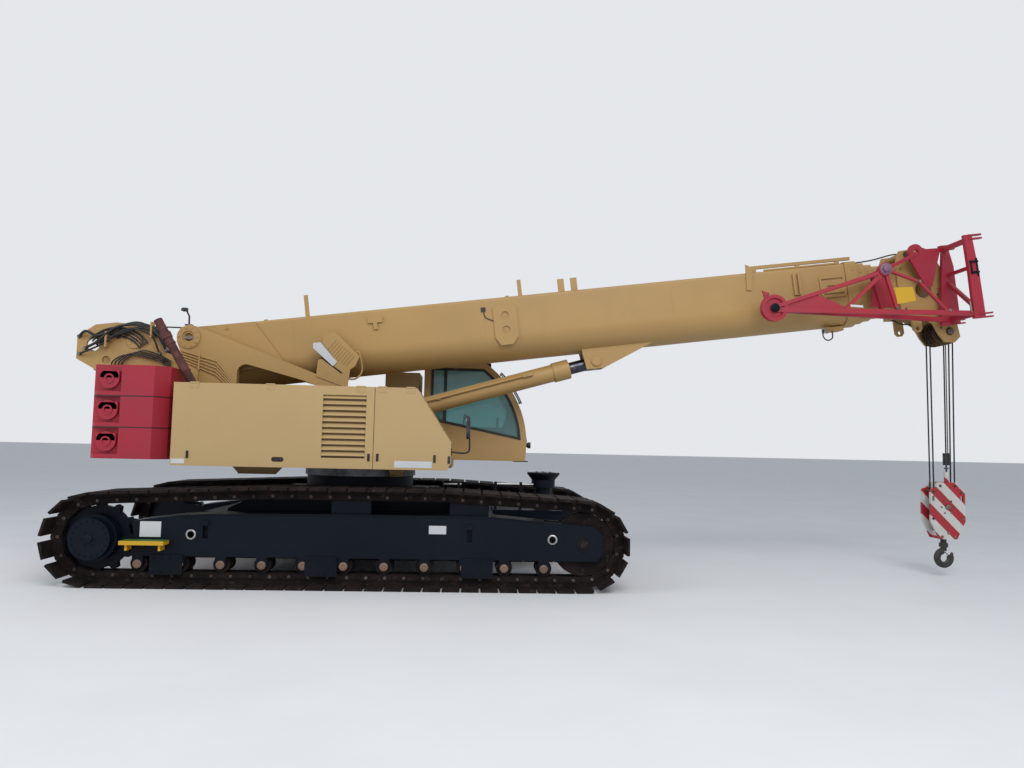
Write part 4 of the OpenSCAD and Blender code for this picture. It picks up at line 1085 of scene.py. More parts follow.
@dataclass(frozen=True)
class Crawler:
    """Links, pins and nuts of one track, and the fittings on its frame.

    Attributes:
        side: -1 for the right track, 1 for the left.
        wheel_centres: distance between the end wheels' axles.
        end_r: radius of the shoes' outer faces round an end wheel.
        pin_depth: depth of the pins below those faces.
        shoe_t: thickness of a shoe.
        top_rise, top_rear, top_front: height and ends of the raised top run.
        shoes: how many shoes it has.
        middle: distance of its middle from the crane's.
        chain_half, frame_half: half widths of the chain and of the frame.
    """

    side: int
    wheel_centres: float = 6.4
    end_r: float = 0.605
    pin_depth: float = 0.126
    shoe_t: float = 0.035
    top_rise: float = 0.1
    top_rear: float = -0.98
    top_front: float = 1.28
    shoes: int = 63
    middle: float = 1.35
    chain_half: float = 0.13
    frame_half: float = 0.19

    def pins(self) -> np.ndarray:
        """The chain's pins.

        The loop's legs are walked at even steps: a straight leg is start + s (cos h, sin h), and a bend of
        radius r turns the heading by s / r.

        Returns:
            One row a pin: x and z.
        """
        r, x = self.end_r - self.pin_depth, self.wheel_centres / 2
        top = 2 * self.end_r - self.pin_depth
        raised = top + self.top_rise
        corners = [(-x, self.pin_depth), (x, self.pin_depth), (x, top), (self.top_front, raised),
                   (self.top_rear, raised), (-x, top)]
        runs = []
        for k, (a, b) in enumerate(zip(corners, corners[1:] + corners[:1])):
            bend = k in (1, 5)
            heading = (0.0 if k == 1 else math.pi) if bend else math.atan2(b[1] - a[1], b[0] - a[0])
            runs.append((math.pi * r if bend else math.hypot(b[0] - a[0], b[1] - a[1]), heading, bend, a))
        ends = np.cumsum([run[0] for run in runs])
        rows = []
        for s in np.arange(self.shoes) * ends[-1] / self.shoes:
            k = int(np.searchsorted(ends, s, side="right"))
            length, h, bend, (ax, az) = runs[k]
            t = s - (ends[k] - length)
            g = h + t / r
            rows.append((ax + r * (math.sin(g) - math.sin(h)), az - r * (math.cos(g) - math.cos(h))) if bend
                        else (ax + t * math.cos(h), az + t * math.sin(h)))
        return np.array(rows)

    def build(self) -> None:
        """Makes the track's pieces."""
        word, y, body = side_word(self.side), self.side * self.middle, f"{side_word(self.side)}_track"
        links, heads, nuts = Shape(), Shape(), Shape()
        pins = self.pins()
        for a, b in zip(pins, np.roll(pins, -1, axis=0)):
            mid, half = (a + b) / 2, float(np.linalg.norm(b - a)) / 2
            along = (b - a) / (2 * half)
            outer = np.array([along[1], -along[0]])
            waist = [(-half, 0.034), (0.03 - half, 0.044), (-0.03, 0.026), (0.03, 0.026), (half - 0.03, 0.044),
                     (half, 0.034), (half, -0.034), (half - 0.03, -0.042), (0.04, -0.036), (-0.04, -0.036),
                     (0.03 - half, -0.042), (-half, -0.034)]
            outline = [mid + 0.985 * s * along + n * outer for s, n in waist]
            for face in SIDES:
                edge = y + face * self.chain_half
                links.prism(outline, edge - face * 0.004, face * 0.014)
                heads.cap((a[0], edge, a[1]), (0, face, 0), 0.024, 0.024, (0.004, 0.007), 10)
            inner = mid + outer * (self.pin_depth - self.shoe_t)
            rows = (inner - 0.06 * along, inner + 0.06 * along)
            nuts.bolts([(p[0], y + v, p[1]) for p in rows for v in (-0.165, 0.165)], (-outer[0], 0, -outer[1]),
                       0.015, 0.014)
        links.piece(f"chain_links_{word}", Coat.TRACK, body)
        heads.piece(f"chain_pins_{word}", CHAIN_PIN, body)
        nuts.piece(f"shoe_nuts_{word}", Coat.TRACK, body)
        self.frame_fittings(word, body)

    def frame_fittings(self, word: str, body: str) -> None:
        """Makes the bright and coloured fittings on the frame's outer side.

        Args:
            word: the side's word.
            body: the body they ride on.
        """
        out = float(self.side)
        edge, axle = out * (self.middle + self.frame_half), self.wheel_centres / 2
        drum, outward = (-axle, out * (self.middle + 0.33), self.end_r), (0, out, 0)
        rims, caps, studs = Shape(), Shape(), Shape()
        for x in (-1.96, 2.78):
            rims.revolve([(0.0225, 0.043), (0.026, 0.046), (0.026, 0.06), (0.022, 0.066), (0.006, 0.066),
                          (0.006, 0.0645), (0.0225, 0.0645)], (x, edge, 0.67), outward, 28, "joined")
        for x in np.linspace(-2.63, 2.67, 11):
            caps.revolve([(-0.004, 0.056), (0.01, 0.056), (0.016, 0.046), (0.016, 0.022), (0.012, 0.018), (0.012, 0)],
                         (x, edge, 0.281), outward, 16)
            studs.bolts([(x - 0.052, edge, 0.37), (x + 0.052, edge, 0.37)], outward, 0.011, 0.009)
        studs.bolt_ring(drum, outward, 0.225, 18, 0.013).bolt_ring(drum, outward, 0.09, 6, 0.011)
        studs.cap(drum, outward, 0.05, 0.022, (0.006, 0.01))
        studs.bolt_ring((axle, edge + out * 0.015, self.end_r), outward, 0.06, 6, 0.01)
        for x in (-2.26, -0.27, 1.78):
            studs.bolts([(x + dx, edge + out * 0.02, z) for dx in (-0.16, -0.05, 0.05, 0.16) for z in (0.19, 0.36)],
                        outward, 0.013)
        caps.piece(f"roller_caps_{word}", ROLLER_PAINT, body, True)
        rims.piece(f"lashing_rims_{word}", BRIGHT, body, True)
        studs.piece(f"frame_bolts_{word}", Coat.DARK, body)
        plates = Shape()
        for x0, z0, x1, z1 in ((-2.62, 0.63, -2.35, 0.83), (1.13, 0.72, 1.36, 0.83)):
            plates.slab((x0, edge - out * 0.0005, z0), (x1, edge + out * 0.004, z1), 0.0015)
        plates.piece(f"blank_plates_{word}", WHITE_PLATE, body)
        tread = Shape()
        for x in np.arange(-2.79, -2.25, 0.03):
            tread.slab((x, edge + out * 0.185, 0.5945), (x + 0.016, edge + out * 0.006, 0.599), 0.001)
        tread.slab((-2.799, edge + out * 0.15, 0.597), (-2.241, edge + out * 0.004, 0.5955), 0.0004)
        tread.piece(f"step_tread_{word}", STEP_TREAD, body)
        nosing = Shape().slab((-2.8, edge + out * 0.19, 0.545), (-2.24, edge + out * 0.196, 0.597), 0.002)
        nosing.piece(f"step_nosing_{word}", YELLOW_PLATE, body)
        hoses = Shape()
        for k, z in enumerate((0.5, 0.55, 0.6)):
            hoses.hose([(-1.55 - 0.02 * k, out * 1.155, z + 0.28), (-1.75, out * 1.13, z + 0.25),
                        (-2.05, out * 1.12, z + 0.1), (-2.45, out * 1.13, z + 0.02), (-2.62, out * 1.155, z)], 0.014)
        hoses.piece(f"drive_hoses_{word}", Coat.HOSE, body, True)


@dataclass(frozen=True)
class CentreBox:
    """Fittings of the centre box: the jack's bolts and rim, the locking rods and the deck's brackets.

    Attributes:
        jack_x, jack_top, jack_r: place and size of the stowed jack's foot.
        rods: start, end and height of each bright rod over the box.
        brackets: start and end of each bracket that hangs under the deck.
    """

    jack_x: float = 2.79
    jack_top: float = 1.51
    jack_r: float = 0.25
    rods: tuple[tuple[float, float, float], ...] = ((1.226, 1.512, 1.313), (2.03, 2.6, 1.33))
    brackets: tuple[tuple[float, float], ...] = ((-1.757, -0.981), (0.478, 0.724))

    def feet(self, x: float) -> float:
        """Height of the box's top at x, on its slanted front and on the apron."""
        return 0.955 if x > 1.7 else 1.225 - max(0.0, x - 1.15) * 0.27 / 0.55

    def build(self) -> None:
        """Makes the pieces."""
        rods, posts, bolts, yellow = Shape(), Shape(), Shape(), Shape()
        for x0, x1, z in self.rods:
            rods.tube([(x0, -0.2, z), (x1 + 0.02, -0.2, z)], 0.02, 14)
            for x in (x0 + 0.02, min(x1, 2.45) - 0.02):
                posts.slab((x - 0.02, -0.235, self.feet(x) - 0.01), (x + 0.02, -0.165, z + 0.035), 0.006)
        top, foot, up, r = (self.jack_x, 0, self.jack_top), (self.jack_x, 0, 0.96), (0, 0, 1), self.jack_r
        rods.revolve([(0, r - 0.012), (0.003, r - 0.008), (0.003, r - 0.045), (0, r - 0.05)], top, up, 48, "joined")
        rods.piece("locking_rods", BRIGHT, "undercarriage", True)
        posts.bolt_ring(foot, up, 0.155, 10, 0.014).bolt_ring(top, up, 0.12, 6, 0.014)
        posts.collar(foot, up, 0.16, 0.135, 0, 0.025, 32).bolt_ring((0, 0, 1.2295), up, 0.86, 36, 0.016)
        posts.piece("centre_box_fittings", Coat.DARK, "undercarriage")
        for side in SIDES:
            for x in (-1.35, 1.35):
                bolts.bolts([(x, side * 0.905, z) for z in (0.62, 0.72, 0.82)], (0, side, 0), 0.016)
        bolts.piece("centre_box_bolts", Coat.DARK, "undercarriage")
        for x0, x1 in self.brackets:
            rise = (x1 - x0) * 0.16
            yellow.prism([(x0, 1.572), (x1, 1.572), (x1 - rise, 1.44), (x0 + rise, 1.44)], -0.72, 0.02)
            yellow.slab((x0 + rise, -0.76, 1.436), (x1 - rise, -0.68, 1.448), 0.003)
        yellow.piece("deck_brackets", Coat.OCHRE)


@dataclass(frozen=True)
class Covers:
    """What stands on the housings: latches, hinges, seams, grit sheets, blank plates.

    Attributes:
        face: distance of the doors' outer faces from the middle.
        top, high_top: tops of the housings and of the raised one.
        rear_latches, front_latches: x and z of each latch.
        rear_hinges, front_hinges: start of each hinge.
    """

    face: float = -1.48
    top: float = 2.665
    high_top: float = 3.06
    rear_latches: tuple[tuple[float, float], ...] = ((-2.09, 1.708), (0.292, 1.715))
    front_latches: tuple[tuple[float, float], ...] = ((0.409, 1.718), (1.173, 1.715), (1.367, 1.704))
    rear_hinges: tuple[float, ...] = (-2.1, -1.1, 0.1)
    front_hinges: tuple[float, ...] = (0.39, 0.77)

    def door(self, word: str, latches: tuple[tuple[float, float], ...], hinges: tuple[float, ...]) -> None:
        """Makes one door's latches and hinge leaves, and on the rear door a darker panel behind the louvres, painted
        shade in the gaps between the slats.

        Args:
            word: rear or front.
            latches: x and z of each latch.
            hinges: start of each hinge.
        """
        black, leaves, face, near = Shape(), Shape(), self.face, (0, -1, 0)
        for x, z in latches:
            black.slab((x - 0.017, face - 0.01, z - 0.05), (x + 0.017, face + 0.001, z + 0.05), 0.003)
            black.slab((x - 0.009, face - 0.016, z - 0.042), (x + 0.009, face - 0.009, z + 0.01), 0.003)
            black.revolve([(0, 0.01), (0.005, 0.01), (0.005, 0)], (x, face - 0.01, z + 0.03), near, 12)
        for x in hinges:
            leaves.slab((x, face - 0.004, self.top - 0.075), (x + 0.12, face + 0.001, self.top - 0.01), 0.0015)
            leaves.bolts([(x + dx, face - 0.004, self.top - 0.05) for dx in (0.03, 0.09)], near, 0.008, 0.005)
        if word == "rear":
            black.slab((-0.965, face + 0.003, 1.653), (-0.855, face + 0.01, 1.677), 0.003)
            bowl = np.vstack([arc((-0.86, 1.665), 0.0315, -90, 90, 9), arc((-0.96, 1.665), 0.0315, 90, 270, 9)])
            black.prism(bowl, face + 0.0135, 0.002)
            # A darker ochre panel behind the louvres, with a strip at each side: painted shade in the gaps between the
            # slats.
            back = Shape().slab((-0.36, face + 0.046, 1.69), (0.26, face + 0.05, 2.555), 0.001)
            for x in (-0.35, 0.25):
                back.slab((x - 0.008, face + 0.0295, 1.7), (x + 0.008, face + 0.0465, 2.545), 0.001)
            back.piece("louvre_shade_panel", LOUVRE_PAINTED_SHADE, "engine_door_rear")
        black.piece(f"{word}_door_latches", Coat.PLASTIC, f"engine_door_{word}")
        leaves.piece(f"{word}_door_hinge_leaves", COVER_PAINT, f"engine_door_{word}")

    def build(self) -> None:
        """Makes the pieces."""
        face, top, out = self.face, self.top, -self.face
        self.door("rear", self.rear_latches, self.rear_hinges)
        self.door("front", self.front_latches, self.front_hinges)
        for word, x0, z0, x1, z1 in (("front", 0.639, 1.588, 1.141, 1.676), ("rear", -2.3, 1.587, -2.125, 1.649)):
            plate = Shape().slab((x0, face - 0.002, z0), (x1, face + 0.001, z1), 0.001)
            plate.piece(f"{word}_door_blank_plate", WHITE_PLATE, f"engine_door_{word}")
        leaves, grit, panels, knobs = Shape(), Shape(), Shape(), Shape()
        for x in (*self.rear_hinges, *self.front_hinges):
            leaves.slab((x, face + 0.006, top - 0.001), (x + 0.12, face + 0.07, top + 0.004), 0.0015)
            leaves.bolts([(x + dx, face + 0.045, top + 0.004) for dx in (0.03, 0.09)], (0, 0, 1), 0.008, 0.005)
        leaves.piece("roof_hinge_leaves", COVER_PAINT)
        for x0, x1, side, z in ((-1.95, -0.75, -1, top), (-0.65, 0.75, -1, top), (-2.2, -1.05, 1, top),
                                (-0.95, 0.18, 1, top), (0.3, 0.76, 1, self.high_top)):
            grit.slab((x0, side * 1.36, z - 0.001), (x1, side * 0.72, z + 0.003), 0.001)
        grit.piece("roof_grit_sheets", GRIT)
        for x0, x1, z1 in ((-2.27, -1.44, 2.62), (-1.42, -0.6, 2.62), (-0.58, 0.23, 2.62), (0.28, 0.77, 3.02)):
            panels.slab((x0, out - 0.001, 1.6), (x1, out + 0.004, z1), 0.002)
            for x in (x1 - 0.1, x0 + 0.06):
                knobs.slab((x, out + 0.003, 1.66), (x + 0.034, out + 0.014, 1.76), 0.003)
        for z in np.arange(1.8, 2.44, 0.08):
            knobs.slab((-0.42, out + 0.003, z), (0.07, out + 0.01, z + 0.03), 0.003)
        knobs.cap((0.52, 1.42, self.high_top), (0, 0, 1), 0.055, 0.036, (0.006, 0.01))
        panels.piece("left_housing_panels", COVER_PAINT)
        knobs.piece("left_housing_latches", Coat.PLASTIC)
        pipe, slope = Shape(), (-0.6, 0, 1.01)
        pipe.revolve([(-0.3, 0.072), (-0.22, 0.075), (-0.22, 0.064), (-0.3, 0.064)], (-2.78, -0.95, 3.57), slope, 24,
                     "joined")
        for at in (0.25, 0.75):
            pipe.collar((-2.243 - at * 0.45, -0.95, 2.665 + at * 0.76), slope, 0.068, 0.0605, -0.012, 0.012, 24)
        pipe.revolve([(0, 0.13), (0.012, 0.13), (0.012, 0)], (-2.245, -0.95, top - 0.001), (0, 0, 1), 24)
        pipe.piece("exhaust_clamps", Coat.PIPE)


@dataclass(frozen=True)
class Ballast:
    """Fittings of the counterweight's slabs.

    Attributes:
        bottom, slab, count: underside of the lowest slab, height of one, and how many there are.
        rear, front: their ends along X.
        half: their half width.
        lug_x: place of the lifting lugs.
        proud: how far the dark band at each seam, painted shade of the groove, stands off the iron.
    """

    bottom: float = 1.63
    slab: float = 0.4183
    count: int = 3
    rear: float = -3.4
    front: float = -2.45
    half: float = 1.4
    lug_x: float = -3.19
    proud: float = 0.0015

    def build(self) -> None:
        """Makes the pieces."""
        seams, stripes, lugs, bezels, lenses = (Shape() for _ in range(5))
        g, half = self.proud, self.half
        corner = [(self.rear - g, -half + 0.06), (-3.34, -half - g), (-2.6, -half - g), (self.front + g, -half + 0.18)]
        outline = corner + [(x, -y) for x, y in corner[::-1]]
        for k in range(self.count):
            low = self.bottom + k * self.slab
            # A dark band round each joint between slabs: painted shade of the groove there.
            if k:
                seams.prism(outline, low - 0.009, 0.018, 2)
            for side in SIDES:
                stripes.slab((self.rear - 0.003, side * 1.02, low + 0.06),
                             (self.rear + 0.001, side * 1.33, low + 0.36), 0.001)
                lugs.collar((self.lug_x, side * (half - 0.002), low + 0.23), (0, side, 0), 0.066, 0.044, 0, 0.012, 24)
                lugs.slab((self.lug_x - 0.13, side * (half - 0.058), low + 0.23),
                          (self.lug_x + 0.13, side * half, low + 0.34), 0.01)
        seams.piece("counterweight_seam_shade", SEAM_SHADE_PAINT)
        stripes.piece("counterweight_stripes", TAIL_STRIPES)
        lugs.piece("counterweight_lugs", Coat.CRIMSON)
        for side in SIDES:
            for y in (0.82, 0.93):
                spot, back = (self.rear, side * y, 1.75), (-1, 0, 0)
                bezels.revolve([(0, 0.05), (0.018, 0.05), (0.022, 0.044), (0, 0.044)], spot, back, 24, "joined")
                lenses.revolve([(0, 0.043), (0.016, 0.043), (0.021, 0.03), (0.023, 0)], spot, back, 24)
        bezels.piece("tail_lamp_bezels", Coat.PLASTIC)
        lenses.piece("tail_lamp_lenses", RED_LENS, smooth=True)


@dataclass(frozen=True)
class TailGear:
    """The winch's rope and motor, the thick hoses that arch over it, the valve box on the arm and the camera post.

    Attributes:
        axle: x and z of the winch drum's axle.
        rope_r: radius of the rope's middle on the drum.
        pitch: distance from one turn to the next.
        half: half the wound width.
        hose_y: the thick hoses' distance beside the middle.
        arches: x and z of each thick hose's points.
        plate: outline of the valve box's blank plate, x and z.
    """

    axle: tuple[float, float] = (-3.33, 3.33)
    rope_r: float = 0.261
    pitch: float = 0.022
    half: float = 0.295
    hose_y: float = -0.452
    arches: tuple[tuple[tuple[float, float], ...], ...] = (
        ((-4.118, 3.377), (-3.995, 3.449), (-3.839, 3.386), (-3.668, 3.45), (-3.476, 3.544), (-3.258, 3.585),
         (-2.98, 3.5), (-2.8, 3.3)),
        ((-4.022, 3.204), (-3.81, 3.301), (-3.666, 3.443), (-3.498, 3.536), (-3.2, 3.55), (-2.92, 3.36)),
        ((-3.828, 3.295), (-3.591, 3.39), (-3.381, 3.47), (-3.197, 3.52), (-2.96, 3.42), (-2.86, 3.2)),
        ((-4.1, 3.12), (-3.93, 3.17), (-3.72, 3.28), (-3.52, 3.44), (-3.3, 3.5), (-3.05, 3.4), (-2.95, 3.15)))
    plate: tuple[tuple[float, float], ...] = ((-0.678, 3.273), (-0.381, 3.012), (-0.323, 3.074), (-0.574, 3.36),
                                              (-0.681, 3.347))

    def build(self) -> None:
        """Makes the pieces."""
        self.winch()
        self.hoses()
        self.valve_box()
        self.post()
        self.arm_fittings()

    def winch(self) -> None:
        """Makes the rope on the drum, a helix (r cos q, p q / 2 pi, r sin q), and the drum's motor."""
        x, z = self.axle
        turns = int(2 * self.half / self.pitch)
        q = np.linspace(0, 2 * np.pi * turns, turns * 22)
        helix = np.column_stack([x + self.rope_r * np.cos(q), -self.half + self.pitch * q / (2 * np.pi),
                                 z + self.rope_r * np.sin(q)])
        Shape().tube(helix, 0.0112, 6).piece("winch_rope", Coat.ROPE, "winch_drum", True)
        lead = [(x + 0.04, 0, z + 0.268), (-3, 0, 3.602), (-2.7, 0, 3.6), (-2.45, 0, 3.605), (-2.22, 0, 3.63)]
        Shape().hose(lead, 0.011, steps=8).piece("winch_rope_lead", Coat.ROPE, smooth=True)
        motor = Shape().revolve([(0.0005, 0.17), (0.02, 0.17), (0.02, 0.15), (0.18, 0.145), (0.19, 0.12), (0.19, 0)],
                                (x, 0.37, z), (0, 1, 0), 32)
        motor.bolt_ring((x, 0.39, z), (0, 1, 0), 0.16, 12, 0.009).piece("winch_motor", Coat.DARK)
        cap = Shape().revolve([(0.0005, 0.115), (0.012, 0.115), (0.018, 0.105), (0.018, 0.05), (0.01, 0.045),
                               (0.01, 0)], (x, -0.37, z), (0, -1, 0), 32)
        cap.bolt_ring((x, -0.388, z), (0, -1, 0), 0.08, 8, 0.009).piece("winch_bearing_cap", Coat.OCHRE)

    def hoses(self) -> None:
        """Makes the hoses along the winch frame's near side."""
        black, ends, clamps = Shape(), Shape(), Shape()
        for k, points in enumerate(self.arches):
            y, last = self.hose_y - 0.012 * (k % 2), len(points) - 1
            black.hose([(x, y if 0 < i < last else -0.39, z) for i, (x, z) in enumerate(points)],
                       0.02 if k < 3 else 0.014, 10, 7)
            for x, z in (points[0], points[-1]):
                ends.revolve([(-0.02, 0.028), (0.03, 0.028), (0.03, 0.022), (0.045, 0.022)], (x, -0.369, z),
                             (0, -1, 0), 6)
        for k in range(4):
            black.hose([(-3.62 + 0.05 * k, -0.385, 2.93), (-3.6 + 0.05 * k, -0.42, 3.02),
                        (-3.4 + 0.06 * k, -0.41, 3.12 + 0.02 * k), (-3, -0.41, 3.06 + 0.03 * k),
                        (-2.78, -0.385, 2.95 + 0.03 * k)], 0.01)
        black.piece("arched_hoses", Coat.HOSE, smooth=True)
        ends.piece("hose_fittings", Coat.STEEL)
        for x, z in ((-3.7, 3.32), (-3.06, 3.48)):
            clamps.slab((x - 0.015, -0.478, z - 0.1), (x + 0.015, -0.37, z + 0.13), 0.004)
        clamps.piece("hose_clamps", Coat.OCHRE)

    def valve_box(self) -> None:
        """Makes the slanted box beside the boom's foot, its ribs, plates and hoop."""
        box = Shape().prism([(-0.531, 3.499), (-0.377, 3.525), (-0.001, 3.168), (-0.069, 3.021), (-0.255, 2.894),
                             (-0.579, 3.177)], -0.585, 0.15)
        low, high, up = np.array([-0.255, 2.894]), np.array([-0.579, 3.177]), np.array([0.64, 0.768])
        aside = (-0.0115, 0.01)
        for share in np.linspace(0.1, 0.92, 9):
            start = low + share * (high - low) + 0.055 * up
            end = start + 0.27 * up
            box.prism([start, end, end + aside, start + aside], -0.594, 0.011)
        box.prism([(-0.62, 2.86), (-0.16, 2.7), (-0.13, 2.99), (-0.2, 3.02), (-0.4, 3.16), (-0.6, 3.1)], -0.606, 0.014)
        box.piece("valve_box", Coat.OCHRE)
        Shape().prism(self.plate, -0.6115, 0.005).piece("valve_box_blank_plate", WHITE_PLATE)
        back = Shape().prism(np.array(self.plate) + (0.004, -0.004), -0.6065, 0.014)
        back.prism([(-0.566, 3.132), (-0.553, 3.147), (-0.243, 2.923), (-0.256, 2.908)], -0.611, 0.006)
        back.piece("valve_box_backing", Coat.DARK)
        hoop = [(-0.1, -0.51, 3.2), (-0.027, -0.51, 3.233), (0.03, -0.51, 2.973), (-0.057, -0.51, 2.849),
                (-0.182, -0.51, 2.846), (-0.27, -0.51, 2.9)]
        Shape().hose(hoop, 0.014, 10).piece("valve_box_hoop", Coat.OCHRE, smooth=True)

    def post(self) -> None:
        """Makes the camera's post on the boom's foot."""
        foot = Shape().slab((-2.55, -0.56, 3.56), (-2.45, -0.48, 3.578), 0.003)
        foot.tube([(-2.5, -0.52, 3.57), (-2.503, -0.52, 3.7), (-2.55, -0.52, 3.79)], 0.013, 12)
        foot.piece("camera_post", Coat.PIPE, smooth=True)
        head = Shape().slab((-2.605, -0.552, 3.77), (-2.53, -0.488, 3.822), 0.008)
        head.revolve([(0, 0.02), (0.018, 0.02), (0.018, 0.014)], (-2.603, -0.52, 3.796), (-1, 0, 0), 16)
        head.piece("camera_head", Coat.PLASTIC)

    def arm_fittings(self) -> None:
        """Makes the pin keepers and their bolts on the two arms."""
        metal, bolts = Shape(), Shape()
        for side in SIDES:
            for x, z, ring in ((-2.47, 3.385, 0.132), (-0.3, 2.13, 0.105)):
                bolts.bolt_ring((x, side * 0.608, z), (0, side, 0), ring, 10)
            metal.slab((-2.53, side * 0.588, 3.352), (-2.41, side * 0.6, 3.4), 0.003)
            metal.slab((-0.35, side * 0.588, 2.105), (-0.25, side * 0.6, 2.145), 0.003)
            bolts.bolts([(x, side * 0.6, 3.376) for x in (-2.51, -2.43)], (0, side, 0), 0.01)
            bolts.bolts([(x, side * 0.59, z) for x, z in ((-2.6, 3.1), (-2.6, 2.95), (-2.42, 2.75))], (0, side, 0))
        metal.piece("pin_keepers", Coat.STEEL)
        bolts.piece("arm_bolts", Coat.OCHRE)


@dataclass(frozen=True)
class Cab:
    """Fittings of the cab: seals, glass, wiper, rods, mirror, lamp, foot plate and all that is inside.

    Attributes:
        near, far: the side walls' outer faces.
        door_face: outer face of the sliding door.
        screen: centre of the curved front, x and z.
        screen_r: its radius.
        floor: top of the cab's floor.
        seat_x: middle of the seat.
        rod_y, blade_y, pivot_y: where the rods, the wiper's blade and its pivot lie across the front.
        mirror_at: middle of the mirror, y and z.
        lamp_at: middle of the work lamp's foot.
    """

    near: float = 0.62
    far: float = 1.52
    door_face: float = 1.56
    screen: tuple[float, float] = (0.949, 1.92)
    screen_r: float = 1.613
    floor: float = 1.705
    seat_x: float = 1.4
    rod_y: float = 0.66
    blade_y: float = 1.0
    pivot_y: float = 1.12
    mirror_at: tuple[float, float] = (-1.29, 2.151)
    lamp_at: Point = (2.578, 0.705, 1.92)

    @property
    def middle(self) -> float:
        """The cab's middle along Y."""
        return (self.near + self.far) / 2

    def on_screen(self, angle: np.ndarray, proud: float, y: float) -> np.ndarray:
        """Points over the curved front, (x + r cos q, z + r sin q), proud of it by a distance.

        Args:
            angle: each point's angle over level, in degrees.
            proud: how far they stand off it.
            y: their Y.

        Returns:
            n by 3 points.
        """
        q, r = np.radians(angle), self.screen_r + proud
        return np.column_stack([self.screen[0] + r * np.cos(q), np.full(len(q), y), self.screen[1] + r * np.sin(q)])

    def spot(self, angle: float, proud: float, y: float) -> np.ndarray:
        """One such point over the curved front."""
        return self.on_screen(np.array([angle]), proud, y)[0]

    def build(self) -> None:
        """Makes the pieces."""
        self.seals()
        self.front()
        self.mirror()
        self.seat()
        self.controls()

    def seals(self) -> None:
        """Makes the windows' seals, the near window's bar and the door's glass."""
        wall, face = self.near, self.door_face
        near = np.vstack([[(1.01, 2.31), (2.449, 2.022)], arc(self.screen, 1.503, 6.0, 51.6, 16)[1:],
                          [(1.841, 3.13), (1.01, 3.13)]])
        door = np.vstack([[(1.05, 2.25), (2.18, 2.15), (2.28, 2.36)], arc(self.screen, 1.453, 23.7, 53.6, 12),
                          [(1.05, 3.09)]])
        rubber = Shape().band(near, 0.022, 0.02, wall - 0.004, 0.01)
        rubber.slab((1.2, wall - 0.003, 2.27), (1.25, wall + 0.006, 3.13), 0.002)
        rubber.piece("near_window_seal", Coat.PLASTIC)
        Shape().band(door, 0.022, 0.02, face - 0.006, 0.01).piece("door_seal", Coat.PLASTIC, "cab_door")
        Shape().prism(door, face - 0.014, 0.006).piece("door_glass", Coat.GLASS, "cab_door")
        grip = Shape().hose([(2.02, face, 1.98), (2.02, face + 0.05, 2), (2.02, face + 0.05, 2.2), (2.02, face, 2.22)],
                            0.011)
        grip.slab((1.86, face - 0.002, 2.02), (1.96, face + 0.012, 2.1), 0.004)
        grip.piece("door_grip", Coat.PLASTIC, "cab_door", True)
        rail = Shape().hose([(0.93, wall - 0.001, 3.18), (0.93, wall - 0.05, 3.2), (1.55, wall - 0.05, 3.205),
                             (1.55, wall - 0.001, 3.185)], 0.012)
        rail.piece("cab_grab_rail", CAB_PAINT, smooth=True)

    def front(self) -> None:
        """Makes the wiper, the twin rods over the front, the front seal, the foot plate and the roof's lamps."""
        black = Shape()
        for y in (0.7, 1.44):
            ring = [self.on_screen(np.linspace(4.6, 46.0, 18), p, y + d) for p, d in
                    ((-0.012, -0.02), (0.006, -0.02), (0.006, 0.02), (-0.012, 0.02))]
            black.loft(np.stack(ring, axis=1))
        for q in (4.2, 46.4):
            corners = [self.spot(q + turn, proud, 0)[[0, 2]] for turn, proud in
                       ((-0.8, -0.012), (-0.8, 0.006), (0.8, 0.006), (0.8, -0.012))]
            black.prism(corners, 0.68, 0.78)
        for proud in (0.03, 0.055):
            black.tube(self.on_screen(np.linspace(24.0, 45.0, 14), proud, self.rod_y), 0.01)
        for q in (25.0, 34.0, 44.0):
            black.tube([self.spot(q, 0, self.rod_y), self.spot(q, 0.066, self.rod_y)], 0.008, 6)
        for proud, radius in ((0.014, 0.007), (0.026, 0.005)):
            black.tube(self.on_screen(np.linspace(11.0, 31.0, 10), proud, self.blade_y), radius, 6)
        pivot = self.spot(2, 0, self.pivot_y)
        arm = np.array([pivot, pivot + (0.035, -0.01, 0.03), self.spot(21, 0.028, self.blade_y)])
        black.hose(arm, 0.008, steps=8).cap(tuple(pivot), (1, 0, 0), 0.03, 0.036, (0.006, 0.01), 16, -0.01)
        black.piece("front_rods_and_wiper", Coat.PLASTIC, smooth=True)
        plate = Shape().slab((2.36, 0.7, 1.646), (2.6, 1.45, 1.6595), 0.003)
        for x in np.arange(2.39, 2.59, 0.03):
            plate.slab((x, 0.72, 1.659), (x + 0.01, 1.43, 1.663), 0.002)
        plate.piece("cab_foot_plate", Coat.PLASTIC)
        roof = Shape()
        for x, z in ((1.15, 3.29), (1.75, 3.262)):
            roof.slab((x, 0.8, 3.24), (x + 0.04, 1.34, z), 0.004)
        for y in (0.78, 1.36):
            x, _, z = self.spot(50, 0, y)
            roof.slab((x - 0.1, y - 0.05, z + 0.004), (x - 0.02, y + 0.05, z + 0.1), 0.01)
        roof.piece("roof_lamps", Coat.PLASTIC)

